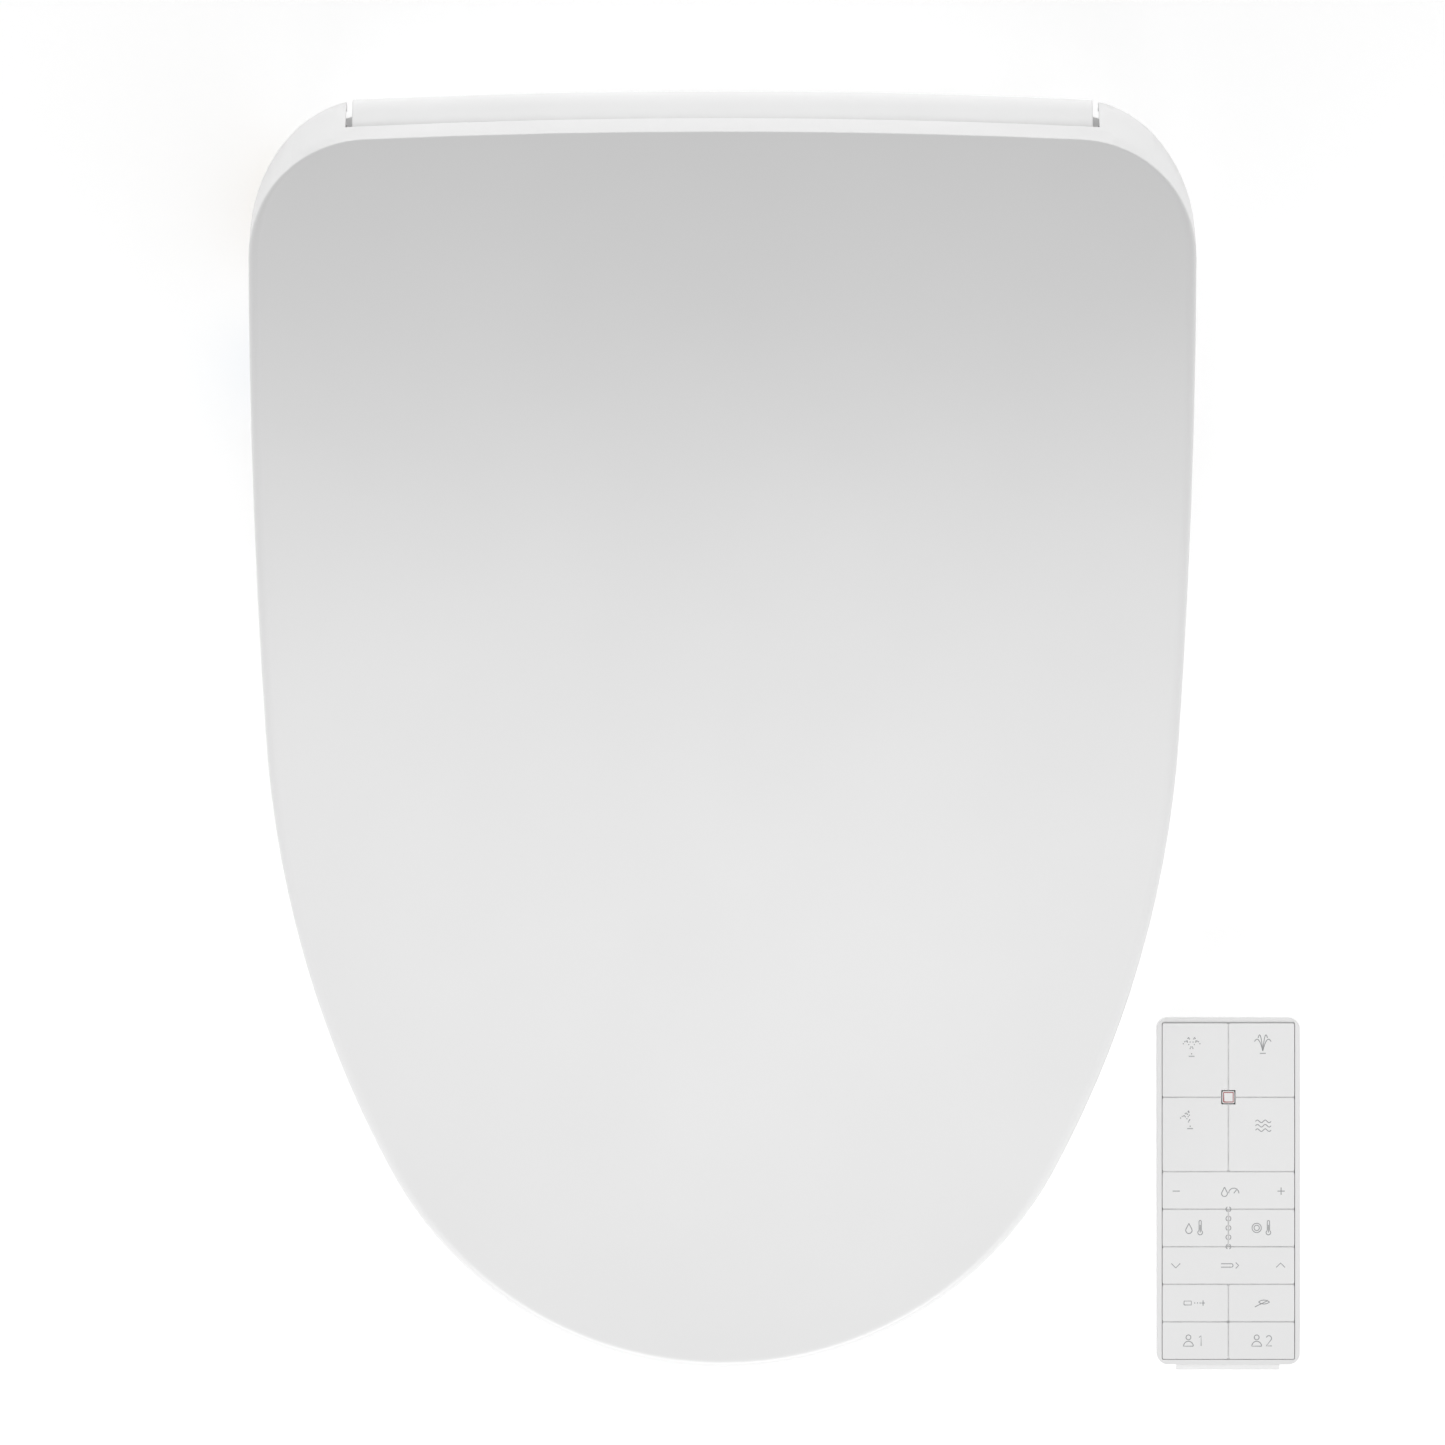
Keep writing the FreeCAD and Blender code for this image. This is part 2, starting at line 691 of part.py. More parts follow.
def make_pan():
    floor, split, wall = value("pan_floor"), value("base_split"), value("shell_wall")
    gap, front = value("side_gap"), value("housing_front")
    tray = prism(gap, floor, split).common(slab(-WIDE, front, 0, WIDE, 60, TALL))
    hollow = prism(gap + wall, floor + wall, split + 1).common(slab(-WIDE, front + wall, 0, WIDE, 60, TALL))
    pan = tray.cut(hollow)
    half, play = value("plate_half"), value("slide_gap")
    lip_top = value("flange_height") - 0.2
    channel_front = value("-plate_depth / 2 - slide_gap - 3")
    roof = value("plate_height") + play
    tunnel = slab(-half - play - wall, channel_front - wall, floor, half + play + wall, 34, roof + wall)
    posts = [post(6, x, y, floor, split) for x, y in screw_places()]
    wall_block = pocket_block(wall).common(prism(gap, floor, split))
    pan = pan.fuse([tunnel, wall_block] + posts)
    pan = pan.cut(slab(-half - play, channel_front, -1, half + play, 60, roof)).cut(pocket_block(0))
    lip = half - value("flange_lip") + play
    rail_rear = channel_front + value("rail_length")
    rail = slab(lip, channel_front, 0.6, half + play + wall, rail_rear, lip_top)
    foot = slab(half + play, channel_front, 0.6, half + play + wall, 30, floor + 1)
    pan = pan.fuse(both_sides(rail.fuse(foot)))
    screws = [post(1.6, x, y, 0, 40) for x, y in screw_places()]
    heads = [post(4, x, y, 0, floor + 2.2) for x, y in screw_places()]
    return pan.cut(screws + heads + case_openings()).removeSplitter()


def make_cover():
    wall, split = value("shell_wall"), value("base_split")
    form = housing_form(0)
    posts = [post(6.5, x, y, split, 61) for x, y in screw_places()]
    pocket_wall = pocket_block(wall).common(form)
    bosses = [shape.common(form) for shape in posts]
    shell = form.cut(housing_form(wall)).fuse([pocket_wall] + bosses).cut(pocket_block(0))
    holes = [post(1.6, x, y, 0, 52) for x, y in screw_places()]
    below = slab(-WIDE, -WIDE, -10, WIDE, WIDE, split)
    return shell.cut(holes + case_openings() + [below]).removeSplitter()


# ---------------------------------------------------------------- gear and rack

def involute_tooth(teeth, module, thinner, foot_radius, tip_radius):
    """Points of one tooth, from its left foot over its tip to its right foot."""
    pitch = module * teeth / 2
    pressure = math.radians(20)
    base = pitch * math.cos(pressure)
    half_pitch_angle = math.pi / (2 * teeth) - thinner / (2 * pitch)
    involute = math.tan(pressure) - pressure

    def flank(radius):
        angle = math.acos(min(1.0, base / radius))
        return half_pitch_angle + involute - (math.tan(angle) - angle)

    radii = [max(base, foot_radius) + (tip_radius - max(base, foot_radius)) * i / 6 for i in range(7)]
    right = [(r, flank(r)) for r in radii]
    right.insert(0, (foot_radius, flank(radii[0])))
    return right


def make_pinion():
    """The nozzle's drive gear with its shaft, on its own axis along x."""
    module, teeth = value("gear_module"), int(value("gear_teeth"))
    pitch = module * teeth / 2
    tooth = involute_tooth(teeth, module, value("rack_backlash"), pitch - 1.2 * module, pitch + 0.95 * module)
    points = []
    for i in range(teeth):
        middle = 2 * math.pi * i / teeth - math.pi / 2
        for radius, half in tooth:
            points.append((radius, middle - half))
        for radius, half in reversed(tooth):
            points.append((radius, middle + half))
    half_width = value("gear_width / 2")
    corners = [FreeCAD.Vector(-half_width, r * math.cos(a), r * math.sin(a)) for r, a in points]
    gear = Part.Face(Part.makePolygon(corners + corners[:1])).extrude(FreeCAD.Vector(2 * half_width, 0, 0))
    return gear.fuse(crossbar(value("shaft_radius"), -half_width, half_width + 6, 0, 0)).removeSplitter()


PINION_BEHIND_TIP = 22.0


def rack_line():
    """Height of the rack's pitch line over the nozzle's middle."""
    return value("nozzle_radius") + 3


def make_rack():
    """Straight teeth along the nozzle's top, in mesh with the gear's lowest tooth."""
    module = value("gear_module")
    step = math.pi * module
    slope = math.tan(math.radians(20))
    addendum, dedendum = 0.7 * module, 1.3 * module
    line = rack_line()
    foot, tip = line - dedendum, line + addendum
    half_pitch = step / 4 - value("rack_backlash") / 4
    start, end = 12.0, value("nozzle_length") - 1
    saddle = slab(-3.5, 5, start, 3.5, foot, end)
    teeth = []
    first = PINION_BEHIND_TIP + step / 2
    low_index = math.ceil((start - first) / step + 0.5)
    high_index = math.floor((end - first) / step - 0.5)
    for i in range(low_index, high_index + 1):
        centre = first + i * step
        wide, narrow = half_pitch + dedendum * slope, half_pitch - addendum * slope
        corners = [(foot - 0.05, centre - wide), (tip, centre - narrow), (tip, centre + narrow),
                   (foot - 0.05, centre + wide)]
        points = [FreeCAD.Vector(-3.5, h, s) for h, s in corners]
        teeth.append(Part.Face(Part.makePolygon(points + points[:1])).extrude(FreeCAD.Vector(7, 0, 0)))
    bar = saddle.fuse(teeth)
    tube = Part.makeCylinder(value("nozzle_radius") + 0.02, end + 10)
    bar = bar.cut(tube).removeSplitter()
    bar.Placement = FreeCAD.Placement(nozzle_start(), nozzle_turn())
    return bar


def pinion_place():
    lift = rack_line() + value("gear_module * gear_teeth / 2")
    return nozzle_start() + nozzle_turn().multVec(FreeCAD.Vector(0, lift, PINION_BEHIND_TIP))


def build_nozzle():
    radius, length = value("nozzle_radius"), value("nozzle_length")
    play, wall = value("nozzle_play"), value("guide_wall")
    tube = nozzle_rod(radius, 10, length).cut(nozzle_rod(5, 13, length + 1))
    node("nozzle_tube", feature(tube))
    tip = nozzle_rod(radius, 0, 10)
    for behind in (3, 5, 7):
        jet = Part.makeCylinder(0.6, 20, FreeCAD.Vector(0, 0, behind), FreeCAD.Vector(0, 1, 0))
        jet.Placement = FreeCAD.Placement(nozzle_start(), nozzle_turn())
        tip = tip.cut(jet)
    node("nozzle_tip", feature(tip))
    node("nozzle_shield", feature(nozzle_rod(value("port_radius") - 0.7, -2, 0)))
    node("nozzle_rack", feature(make_rack()))
    guide = nozzle_rod(radius + play + wall, 6, length - 8).cut(nozzle_rod(radius + play, 0, length))
    guide = guide.cut(nozzle_box(4.2, 0, 30, 0, length + 10))
    floor = value("pan_floor + shell_wall")
    y = value("housing_front")
    stand = slab(-8, y + 14, floor, 8, y + 34, 30).cut(nozzle_rod(radius + play + 1, 0, length))
    guide = guide.fuse(stand).cut(nozzle_rod(radius + play, 0, length)).cut(nozzle_box(4.2, 0, 30, 0, length + 10))
    node("nozzle_guide", feature(guide.removeSplitter()))
    spot = pinion_place()
    gear = make_pinion()
    turn = FreeCAD.Rotation(FreeCAD.Vector(1, 0, 0), value("nozzle_tilt"))
    node("drive_pinion", feature(gear, turn, spot))
    half = value("gear_width / 2") + 3.5
    motor = crossbar(10, half, half + 22, spot.y, spot.z)
    motor = motor.cut(crossbar(value("shaft_radius") + 0.05, half - 1, half + 6, spot.y, spot.z))
    node("nozzle_motor", feature(motor))


# ---------------------------------------------------------------- bracket and holder

def build_bracket():
    depth = "plate_depth / 2"
    half, lip = "plate_half", "plate_half - flange_lip"
    bolts = [(f"{side} * bolt_spacing / 2", 0) for side in (-1, 1)]
    seats = [(x, y, "adjuster_radius + 0.1") for x, y in bolts]
    flange = plate((f"-({half})", f"-{depth}", "flange_height + 0.6"), (half, depth, "plate_height"), 3, seats)
    foot = plate((f"-({lip})", f"-{depth}", 0), (lip, depth, "flange_height + 0.6"), 3, seats)
    node("mounting_plate", fuse(flange, foot))
    discs = [cut(rod("adjuster_radius", (x, 0, 0), "plate_height"), rod("bolt_hole", (x, 0, -1), 20))
             for x, _ in bolts]
    node("plate_adjusters", group(*discs))


def build_holder():
    x, half = REMOTE_X, "holder_half"
    low = "remote_rear_y - remote_length"
    back = plate((f"{x} - {half}", f"{low} - 0.3", 0), (f"{x} + {half}", f"{low} + 60", "remote_lift - 0.2"), 0,
                 [(x, f"{low} + 15", 2.2), (x, f"{low} + 45", 2.2)])
    lip = block((f"{x} - {half}", f"{low} - 2.5", 0), (f"{x} + {half}", f"{low} - 0.3", "remote_lift + 10"))
    node("remote_holder", fuse(back, lip))


# ---------------------------------------------------------------- pieces inside the unit

def build_water():
    y, z = "inlet_y", "inlet_height"
    bore, tube, tube_bore = 4, 4, 2.5

    def inward(distance):
        """A place that far in from the unit's left side."""
        return f"{distance} - {SIDE}"

    stub = fuse(rod("thread_radius", (inward(2.8), y, z), 18, "x"), rod(14, (inward(20.8), y, z), 4, "x"),
                rod(7.8, (inward(24.8), y, z), 10, "x"))
    node("inlet_fitting", cut(stub, rod(bore, (inward(-3.2), y, z), 40, "x")))
    valve = fuse(block((inward(34.9), f"{y} - 13", 12), (inward(64.8), f"{y} + 13", 36)),
                 rod(9, (inward(49.8), y, 36), 22))
    node("inlet_valve", cut(valve, rod(bore, (inward(33.8), y, z), 20, "x")))
    node("water_heater", plate((inward(52.8), -82, 16), (inward(120.8), -22, 66), 12))
    short_x, long_x = inward(58.8), inward(120.8)
    reach = f"{SIDE} - 133.8"
    short = cut(rod(tube, (short_x, f"{y} - 22", 26), 9, "y"), rod(tube_bore, (short_x, f"{y} - 23", 26), 12, "y"))
    long = cut(rod(tube, (long_x, -50, 32), reach, "x"),
               rod(tube_bore, (f"{long_x} - 1", -50, 32), f"{reach} + 7", "x"))
    node("water_tubes", group(short, long))


def build_dryer():
    x, y, floor = "blower_x", "blower_y", "blower_floor"
    top = "blower_floor + blower_height"
    spout = block((f"{x} - 28", f"{y} - 45", f"{floor} + 2"), (f"{x} - 8", y, f"{floor} + 22"))
    way = block((f"{x} - 26", f"{y} - 46", f"{floor} + 4"), (f"{x} - 10", y, f"{floor} + 20"))
    case = fuse(rod("blower_radius", (x, y, floor), "blower_height"), spout)
    inside = rod("blower_radius - 2", (x, y, f"{floor} + 2"), "blower_height - 4")
    air_inlet = rod(14, (x, y, f"{floor} - 1"), 10)
    shaft_hole = rod(3, (x, y, f"{top} - 5"), 9)
    node("blower_housing", cut(case, inside, way, air_inlet, shaft_hole))
    node("blower_motor", cut(rod(12, (x, y, top), 20), rod("shaft_radius + 0.05", (x, y, f"{top} - 1"), 12)))
    body = doc.addObject("PartDesign::Body", "fan")
    hub = new_sketch(body, "hub", f"{floor} + 4")
    hub.addGeometry(Part.Circle(FreeCAD.Vector(), FreeCAD.Vector(0, 0, 1), 7), False)
    bind(hub, Sketcher.Constraint("Radius", 0, 7), "hub_radius", "fan_radius * 0.28")
    hub.addConstraint(Sketcher.Constraint("Coincident", 0, 3, -1, 1))
    core = body.newObject("PartDesign::Pad", "core")
    core.Profile = hub
    core.setExpression("Length", formula("blower_height - 10"))
    doc.recompute()
    blade = new_sketch(body, "blade", f"{floor} + 4")
    rectangle(blade, ("fan_radius * 0.2", -0.8), ("fan_radius", 0.8))
    vane = body.newObject("PartDesign::Pad", "vane")
    vane.Profile = blade
    vane.setExpression("Length", formula("blower_height - 10"))
    doc.recompute()
    ring = body.newObject("PartDesign::PolarPattern", "vanes")
    ring.Originals = [vane]
    ring.Axis = (blade, ["N_Axis"])
    ring.Angle = 360
    ring.Occurrences = 12
    body.Tip = ring
    place(body, (x, y, 0))
    shaft = rod("shaft_radius", (x, y, f"{floor} + 5"), "blower_height + 1")
    node("blower_fan", fuse(body, shaft))
    half = value("flap_width / 2") - 1
    fx, front = value("flap_x"), value("housing_front")
    bx, by, bz = value("blower_x"), value("blower_y"), value("blower_floor")

    def mouth(width, cx, cz, yy):
        low, high = cx - width, cx + width
        corners = [(low, cz - width), (high, cz - width), (high, cz + width), (low, cz + width), (low, cz - width)]
        return Part.makePolygon([FreeCAD.Vector(a, yy, b) for a, b in corners])

    ends = (front + 3.1, 19.5, fx), (by - 45.1, bz + 12, bx - 18)
    duct = [Part.makeLoft([mouth(w, ends[0][2], ends[0][1], ends[0][0] - over),
                           mouth(w, ends[1][2], ends[1][1], ends[1][0] + over)], True, True)
            for w, over in ((half, 0), (half - 2, 0.01))]
    node("dryer_duct", feature(duct[0].cut(duct[1])))
    width = value("flap_width / 2") - 0.2
    leaf = slab(fx - width, front + 0.8, 10.6, fx + width, front + 2.3, 27.2)
    pins = crossbar(1.0, fx - width - 1.4, fx + width + 1.4, front + 1.5, 26.5)
    node("dryer_flap", feature(leaf.fuse(pins).removeSplitter()))


def build_electrics():
    board, hole, chip = 1.6, 1.6, 9
    control_z, power_z = 48, 24
    control_top, power_top = control_z + board, power_z + board
    control = plate((92, -86, control_z), (144, -40, control_top), 2, [(96, -82, hole), (140, -44, hole)])
    chips = [block((x, y, control_top), (x + chip, y + chip, control_top + 2))
             for x, y in ((100, -72), (116, -70), (128, -58))]
    node("control_board", fuse(control, *chips))
    power = plate((-60, -34, power_z), (-16, 28, power_top), 2, [(-56, -30, hole), (-20, 24, hole)])
    transformer = block((-54, 0, power_top), (-32, 22, 45))
    relay = block((-50, -26, power_top), (-38, -12, 38))
    parts = [transformer, relay, rod(5, (-26, -18, power_top), 16)]
    node("power_board", fuse(power, *parts))
    node("ir_window", fuse(rod(7, (125, -60, "housing_top - 2"), 13), rod(9, (125, -60, "housing_top - 4"), 2.5)))
    gland = fuse(rod(9, ("cord_x", "rear_y - side_gap - 1.6", "cord_height"), 3.6, "y"),
                 rod(6.4, ("cord_x", "rear_y - 18", "cord_height"), 12, "y"))
    node("cord_gland", cut(gland, rod("cord_bore", ("cord_x", "rear_y - 20", "cord_height"), 30, "y")))


def build_unit():
    node("base_pan", feature(make_pan()))
    node("top_cover", feature(make_cover()))
    y, z = AXIS_Y, AXIS_Z
    inner = f"{HOUSING_HALF} - 7"
    reach = "slot_gap + lug_width + arm_gap + arm_width + 8.5"
    node("hinge_pins", group(rod("pin_radius", (inner, y, z), reach, "x"),
                             rod("pin_radius", (f"-({inner}) - ({reach})", y, z), reach, "x")))
    node("hinge_dampers", group(rod("damper_radius", (f"{inner} - damper_length", y, z), "damper_length", "x"),
                                rod("damper_radius", (f"-({inner})", y, z), "damper_length", "x")))
    pads = [block((f"{x} - 9", f"{yy} - 14", 0), (f"{x} + 9", f"{yy} + 14", "pan_floor"))
            for x in (-125, 125) for yy in (-70, 12)]
    node("base_pads", group(*pads))
    screws = [fuse(rod(3.5, (x, yy, "pan_floor + 0.2"), 2), rod(1.5, (x, yy, "pan_floor + 2.2"), 44))
              for x, yy in screw_places()]
    node("case_screws", group(*screws))
    build_water()
    build_dryer()
    build_electrics()
    for name, yy in (("wash_button", -68), ("stop_button", -48)):
        node(name, fuse(rod("button_radius", (f"{SIDE} - 6.8", yy, "button_height"), 7.4, "x"),
                        rod(3, (f"{SIDE} - 12.8", yy, "button_height"), 7, "x")))
    node("release_button", fuse(rod(5, (f"{SIDE} - 7.8", -10, 17), 9, "x"),
                                rod(3, (f"{SIDE} - 15.8", -10, 17), 9, "x")))
    cap_out, cap_in, end = f"-{SIDE} - 0.2", f"2.8 - {SIDE}", f"41.8 - {SIDE}"
    cartridge = fuse(block((cap_in, -79.5, 9.5), (end, -50.5, 24.5)),
                     block((cap_out, -79, 10), (cap_in, -51, 24)))
    slots = [block((f"10.8 - {SIDE}", y0, 8), (f"36.8 - {SIDE}", y0 + 3, 26)) for y0 in (-76, -70, -64, -58)]
    node("filter_cartridge", cut(cartridge, *slots))


def build_seat():
    node("seat_shell", feature(make_seat()))
    node("seat_under_plate", feature(make_under_plate()))
    node("seat_heater", feature(make_heater()))
    feet = [block((f"{x} - {w}", f"{y} - 7", 0), (f"{x} + {w}", f"{y} + 7", "seat_underside"))
            for x, y, w in ((-130, -160, 12), (130, -160, 12), (-62, -432, 16), (62, -432, 16))]
    node("seat_bumpers", group(*feet))
    node("lid_shell", feature(make_lid()))
    node("lid_bumpers", feature(make_lid_bumpers()))


# ---------------------------------------------------------------- remote

def key_rows():
    """Each key: name, left and right share of the width, distance of its two ends from the top."""
    wash = "row_wash"
    mid = "(row_wash + row_front)"
    small = [f"({mid} + {i} * row_small)" for i in range(5)]
    end = "(remote_length - key_border)"
    return [
        ("rear_wash_key", 0, 1, "key_border", wash), ("turbo_wash_key", 1, 2, "key_border", wash),
        ("front_wash_key", 0, 1, wash, mid), ("dry_key", 1, 2, wash, mid),
        ("pressure_key", 0, 2, small[0], small[1]),
        ("water_temp_key", 0, 1, small[1], small[2]), ("seat_temp_key", 1, 2, small[1], small[2]),
        ("nozzle_position_key", 0, 2, small[2], small[3]),
        ("nozzle_cleaning_key", 0, 1, small[3], small[4]), ("eco_key", 1, 2, small[3], small[4]),
        ("user_one_key", 0, 1, small[4], end), ("user_two_key", 1, 2, small[4], end),
    ]


def build_remote():
    x, rear = REMOTE_X, "remote_rear_y"
    half, length = "remote_width / 2", "remote_length"
    low, top = "remote_lift", "(remote_lift + remote_thick)"
    seam = "(remote_lift + remote_thick * 0.6)"
    wall = "remote_wall"
    front_y = f"({rear} - {length})"
    lower = plate((f"{x} - {half}", front_y, low), (f"{x} + {half}", rear, seam), "remote_corner")
    hollow = plate((f"{x} - {half} + {wall}", f"{front_y} + {wall}", f"{low} + {wall}"),
                   (f"{x} + {half} - {wall}", f"{rear} - {wall}", f"{seam} + 1"), "remote_corner - remote_wall")
    hatch_half = "(battery_radius * 2 + 3)"
    hatch_front = f"({rear} - battery_length - 14)"
    hatch = block((f"{x} - {hatch_half}", hatch_front, f"{low} - 1"),
                  (f"{x} + {hatch_half}", f"{rear} + 1", f"{low} + 1.8"))
    well = block((f"{x} - {hatch_half} + 2", f"{hatch_front} + 2", f"{low} - 1"),
                 (f"{x} + {hatch_half} - 2", f"{rear} - 6", f"{low} + 4"))
    node("remote_back_case", cut(lower, hollow, hatch, well))
    node("battery_door", plate((f"{x} - {hatch_half} + 0.3", f"{hatch_front} + 0.3", low),
                               (f"{x} + {hatch_half} - 0.3", f"{rear}", f"{low} + 1.6"), 0))
    cells = [rod("battery_radius", (f"{x} + {side} * (battery_radius + 0.3)", f"{hatch_front} + 4",
                                    f"{low} + 2.2 + battery_radius"), "battery_length", "y") for side in (-1, 1)]
    node("batteries", group(*cells))
    upper = plate((f"{x} - {half}", front_y, seam), (f"{x} + {half}", rear, top), "remote_corner")
    window = plate((f"{x} - {half} + key_border", f"{front_y} + key_border", f"{seam} - 1"),
                   (f"{x} + {half} - key_border", f"{rear} - key_border", f"{top} + 1"), 0.7)
    node("remote_front_case", cut(upper, window))
    inner = "(key_border + 0.3)"
    node("remote_board", plate((f"{x} - {half} + {inner}", f"{front_y} + {inner}", f"{seam} + 1.6"),
                               (f"{x} + {half} - {inner}", f"{rear} - {inner}", f"{seam} + 3.2"), 2))
    node("key_mat", plate((f"{x} - {half} + {inner}", f"{front_y} + {inner}", f"{seam} + 3.4"),
                          (f"{x} + {half} - {inner}", f"{rear} - {inner}", f"{seam} + 4.4"), 2))
    stop_y = f"({rear} - row_wash)"
    stop_hole = block((f"{x} - stop_side / 2 - key_gap", f"{stop_y} - stop_side / 2 - key_gap", low),
                      (f"{x} + stop_side / 2 + key_gap", f"{stop_y} + stop_side / 2 + key_gap", f"{top} + 5"))
    base = f"{seam} + 4.4 + key_travel + 0.1"
    face = f"{top} + key_proud"
    for name, left, right, start, end in key_rows():
        x_low = f"{x} + ({left} - 1) * ({half} - key_border) + key_gap / 2"
        x_high = f"{x} + ({right} - 1) * ({half} - key_border) - key_gap / 2"
        key = plate((x_low, f"{rear} - {end} + key_gap / 2", base),
                    (x_high, f"{rear} - {start} - key_gap / 2", face), 0.6)
        near_stop = name in ("rear_wash_key", "turbo_wash_key", "front_wash_key", "dry_key")
        node(name, cut(key, stop_hole) if near_stop else key)
    node("stop_key", plate((f"{x} - stop_side / 2", f"{stop_y} - stop_side / 2", base),
                           (f"{x} + stop_side / 2", f"{stop_y} + stop_side / 2", face), 0.5))


def check_and_write():
    doc.recompute()
    faults = [o.Name for o in doc.Objects if "Invalid" in o.State or "Error" in o.State]
    faults += [label for label, thing in nodes.items() if thing.Shape.isNull() or not thing.Shape.isValid()]
    if faults:
        raise RuntimeError("failed objects: " + ", ".join(faults))
    os.makedirs("parts", exist_ok=True)
    for label, thing in nodes.items():
        thing.Shape.exportStep(os.path.join("parts", label + ".step"))


build_bracket()
build_holder()
build_unit()
build_nozzle()
build_seat()
build_remote()
check_and_write()
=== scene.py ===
import json
import math

import bmesh
import bpy
from mathutils import Matrix, Vector
from mathutils.geometry import intersect_point_line


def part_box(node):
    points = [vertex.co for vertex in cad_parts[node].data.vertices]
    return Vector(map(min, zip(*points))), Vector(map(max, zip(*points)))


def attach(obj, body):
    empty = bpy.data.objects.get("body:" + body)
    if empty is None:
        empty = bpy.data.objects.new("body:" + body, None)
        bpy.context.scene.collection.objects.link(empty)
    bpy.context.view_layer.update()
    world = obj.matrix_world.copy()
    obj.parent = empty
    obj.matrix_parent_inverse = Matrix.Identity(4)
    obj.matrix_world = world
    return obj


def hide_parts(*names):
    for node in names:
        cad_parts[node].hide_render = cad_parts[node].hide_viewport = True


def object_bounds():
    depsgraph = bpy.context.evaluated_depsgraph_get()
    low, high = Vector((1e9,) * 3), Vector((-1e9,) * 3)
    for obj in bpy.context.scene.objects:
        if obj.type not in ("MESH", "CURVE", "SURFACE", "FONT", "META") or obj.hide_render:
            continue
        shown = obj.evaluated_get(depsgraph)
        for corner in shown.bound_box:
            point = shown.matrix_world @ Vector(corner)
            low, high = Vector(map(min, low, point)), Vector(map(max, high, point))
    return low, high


bl_info = {
    "name": "Electric bidet seat",
    "version": (1, 0, 0),
    "blender": (4, 5, 0),
    "location": "View3D > Sidebar > Bidet seat",
    "description": "Models and finishes an electric bidet seat with its remote",
    "category": "Object",
}

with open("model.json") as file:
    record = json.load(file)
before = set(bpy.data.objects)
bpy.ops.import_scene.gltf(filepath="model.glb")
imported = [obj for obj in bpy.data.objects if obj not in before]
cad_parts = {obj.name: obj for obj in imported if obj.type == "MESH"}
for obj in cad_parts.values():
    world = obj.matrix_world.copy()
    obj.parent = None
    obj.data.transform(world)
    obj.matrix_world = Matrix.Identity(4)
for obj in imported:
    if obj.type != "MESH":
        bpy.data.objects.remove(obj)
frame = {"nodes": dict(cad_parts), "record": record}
CAD_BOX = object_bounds()
LID_LOW, LID_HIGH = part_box("lid_shell")
REMOTE_LOW, REMOTE_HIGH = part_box("remote_front_case")

MM = 0.001
MERGE_WITHIN = 2e-6
CUT_WITHIN = 1e-6
FACES_UP = 0.9
LONGEST_ROLL = 0.02

LID_RINGS = (0.00012, 0.0003, 0.00045, 0.0006, 0.0008, 0.0009, 0.00105)
LID_GRID = 0.012
LID_CREASE_ENDS = (0.012, -0.02)
LID_NOSE_ENDS = (-0.34, -0.44)
SEAT_RINGS = (0.0003, 0.0006, 0.0009, 0.0012, 0.0016, 0.002, 0.0026, 0.0032, 0.004)
SEAT_REAR_ENDS = (0.02, 0.006)
SEAT_REAR_LOSS = 0.8

MIX_FIRST, MIX_SECOND, MIX_COLOUR = 6, 7, 2


# ---------------------------------------------------------------- sizes and colours

class BIDET_PG_lid(bpy.types.PropertyGroup):
    """How the lid's top is crowned and how its edge is rounded"""

    rear_height: bpy.props.FloatProperty(
        name="Rear height", description="Height of the top at the rear crease",
        default=LID_HIGH.z, unit="LENGTH")
    front_height: bpy.props.FloatProperty(
        name="Front height", description="Height of the top at the nose", default=0.055, unit="LENGTH")
    crown_rise: bpy.props.FloatProperty(
        name="Crown rise", description="How far the top bows above a straight slope",
        default=0.0105, unit="LENGTH")
    crease_y: bpy.props.FloatProperty(
        name="Crease", description="Where the rear facet meets the top", default=0.028, unit="LENGTH")
    side_edge: bpy.props.FloatProperty(
        name="Side edge", description="Edge radius along the sides", default=0.0042, unit="LENGTH")
    nose_edge: bpy.props.FloatProperty(
        name="Nose edge", description="Edge radius round the nose", default=0.003, unit="LENGTH")
    crease_edge: bpy.props.FloatProperty(
        name="Crease edge", description="Edge radius along the rear crease",
        default=0.0012, unit="LENGTH")


class BIDET_PG_seat(bpy.types.PropertyGroup):
    """How the sitting surface rolls into its opening and over its outer edge"""

    outer_width: bpy.props.FloatProperty(
        name="Outer edge width", description="Width of the roll at the outside",
        default=0.008, unit="LENGTH")
    outer_drop: bpy.props.FloatProperty(
        name="Outer edge drop", description="Depth of the roll at the outside",
        default=0.005, unit="LENGTH")
    hole_width: bpy.props.FloatProperty(
        name="Opening edge width", description="Width of the roll at the opening",
        default=0.018, unit="LENGTH")
    hole_drop: bpy.props.FloatProperty(
        name="Opening edge drop", description="Depth of the roll at the opening",
        default=0.009, unit="LENGTH")


class BIDET_PG_marks(bpy.types.PropertyGroup):
    """The pictograms on the keys and buttons"""

    stroke: bpy.props.FloatProperty(
        name="Stroke", description="Width of a printed line", default=0.00036, unit="LENGTH")
    rib: bpy.props.FloatProperty(
        name="Rib", description="Width of the mat's ribs between the keys",
        default=0.00032, unit="LENGTH")
    rib_depth: bpy.props.FloatProperty(
        name="Rib depth", description="How far the ribs end below the key faces",
        default=0.00022, unit="LENGTH")
    ink: bpy.props.FloatVectorProperty(
        name="Ink", description="Colour of the printed marks", size=3, subtype="COLOR",
        default=(0.36, 0.365, 0.375))
    stop_ink: bpy.props.FloatVectorProperty(
        name="Stop ink", description="Colour of the stop key's frame", size=3, subtype="COLOR",
        default=(0.36, 0.035, 0.04))


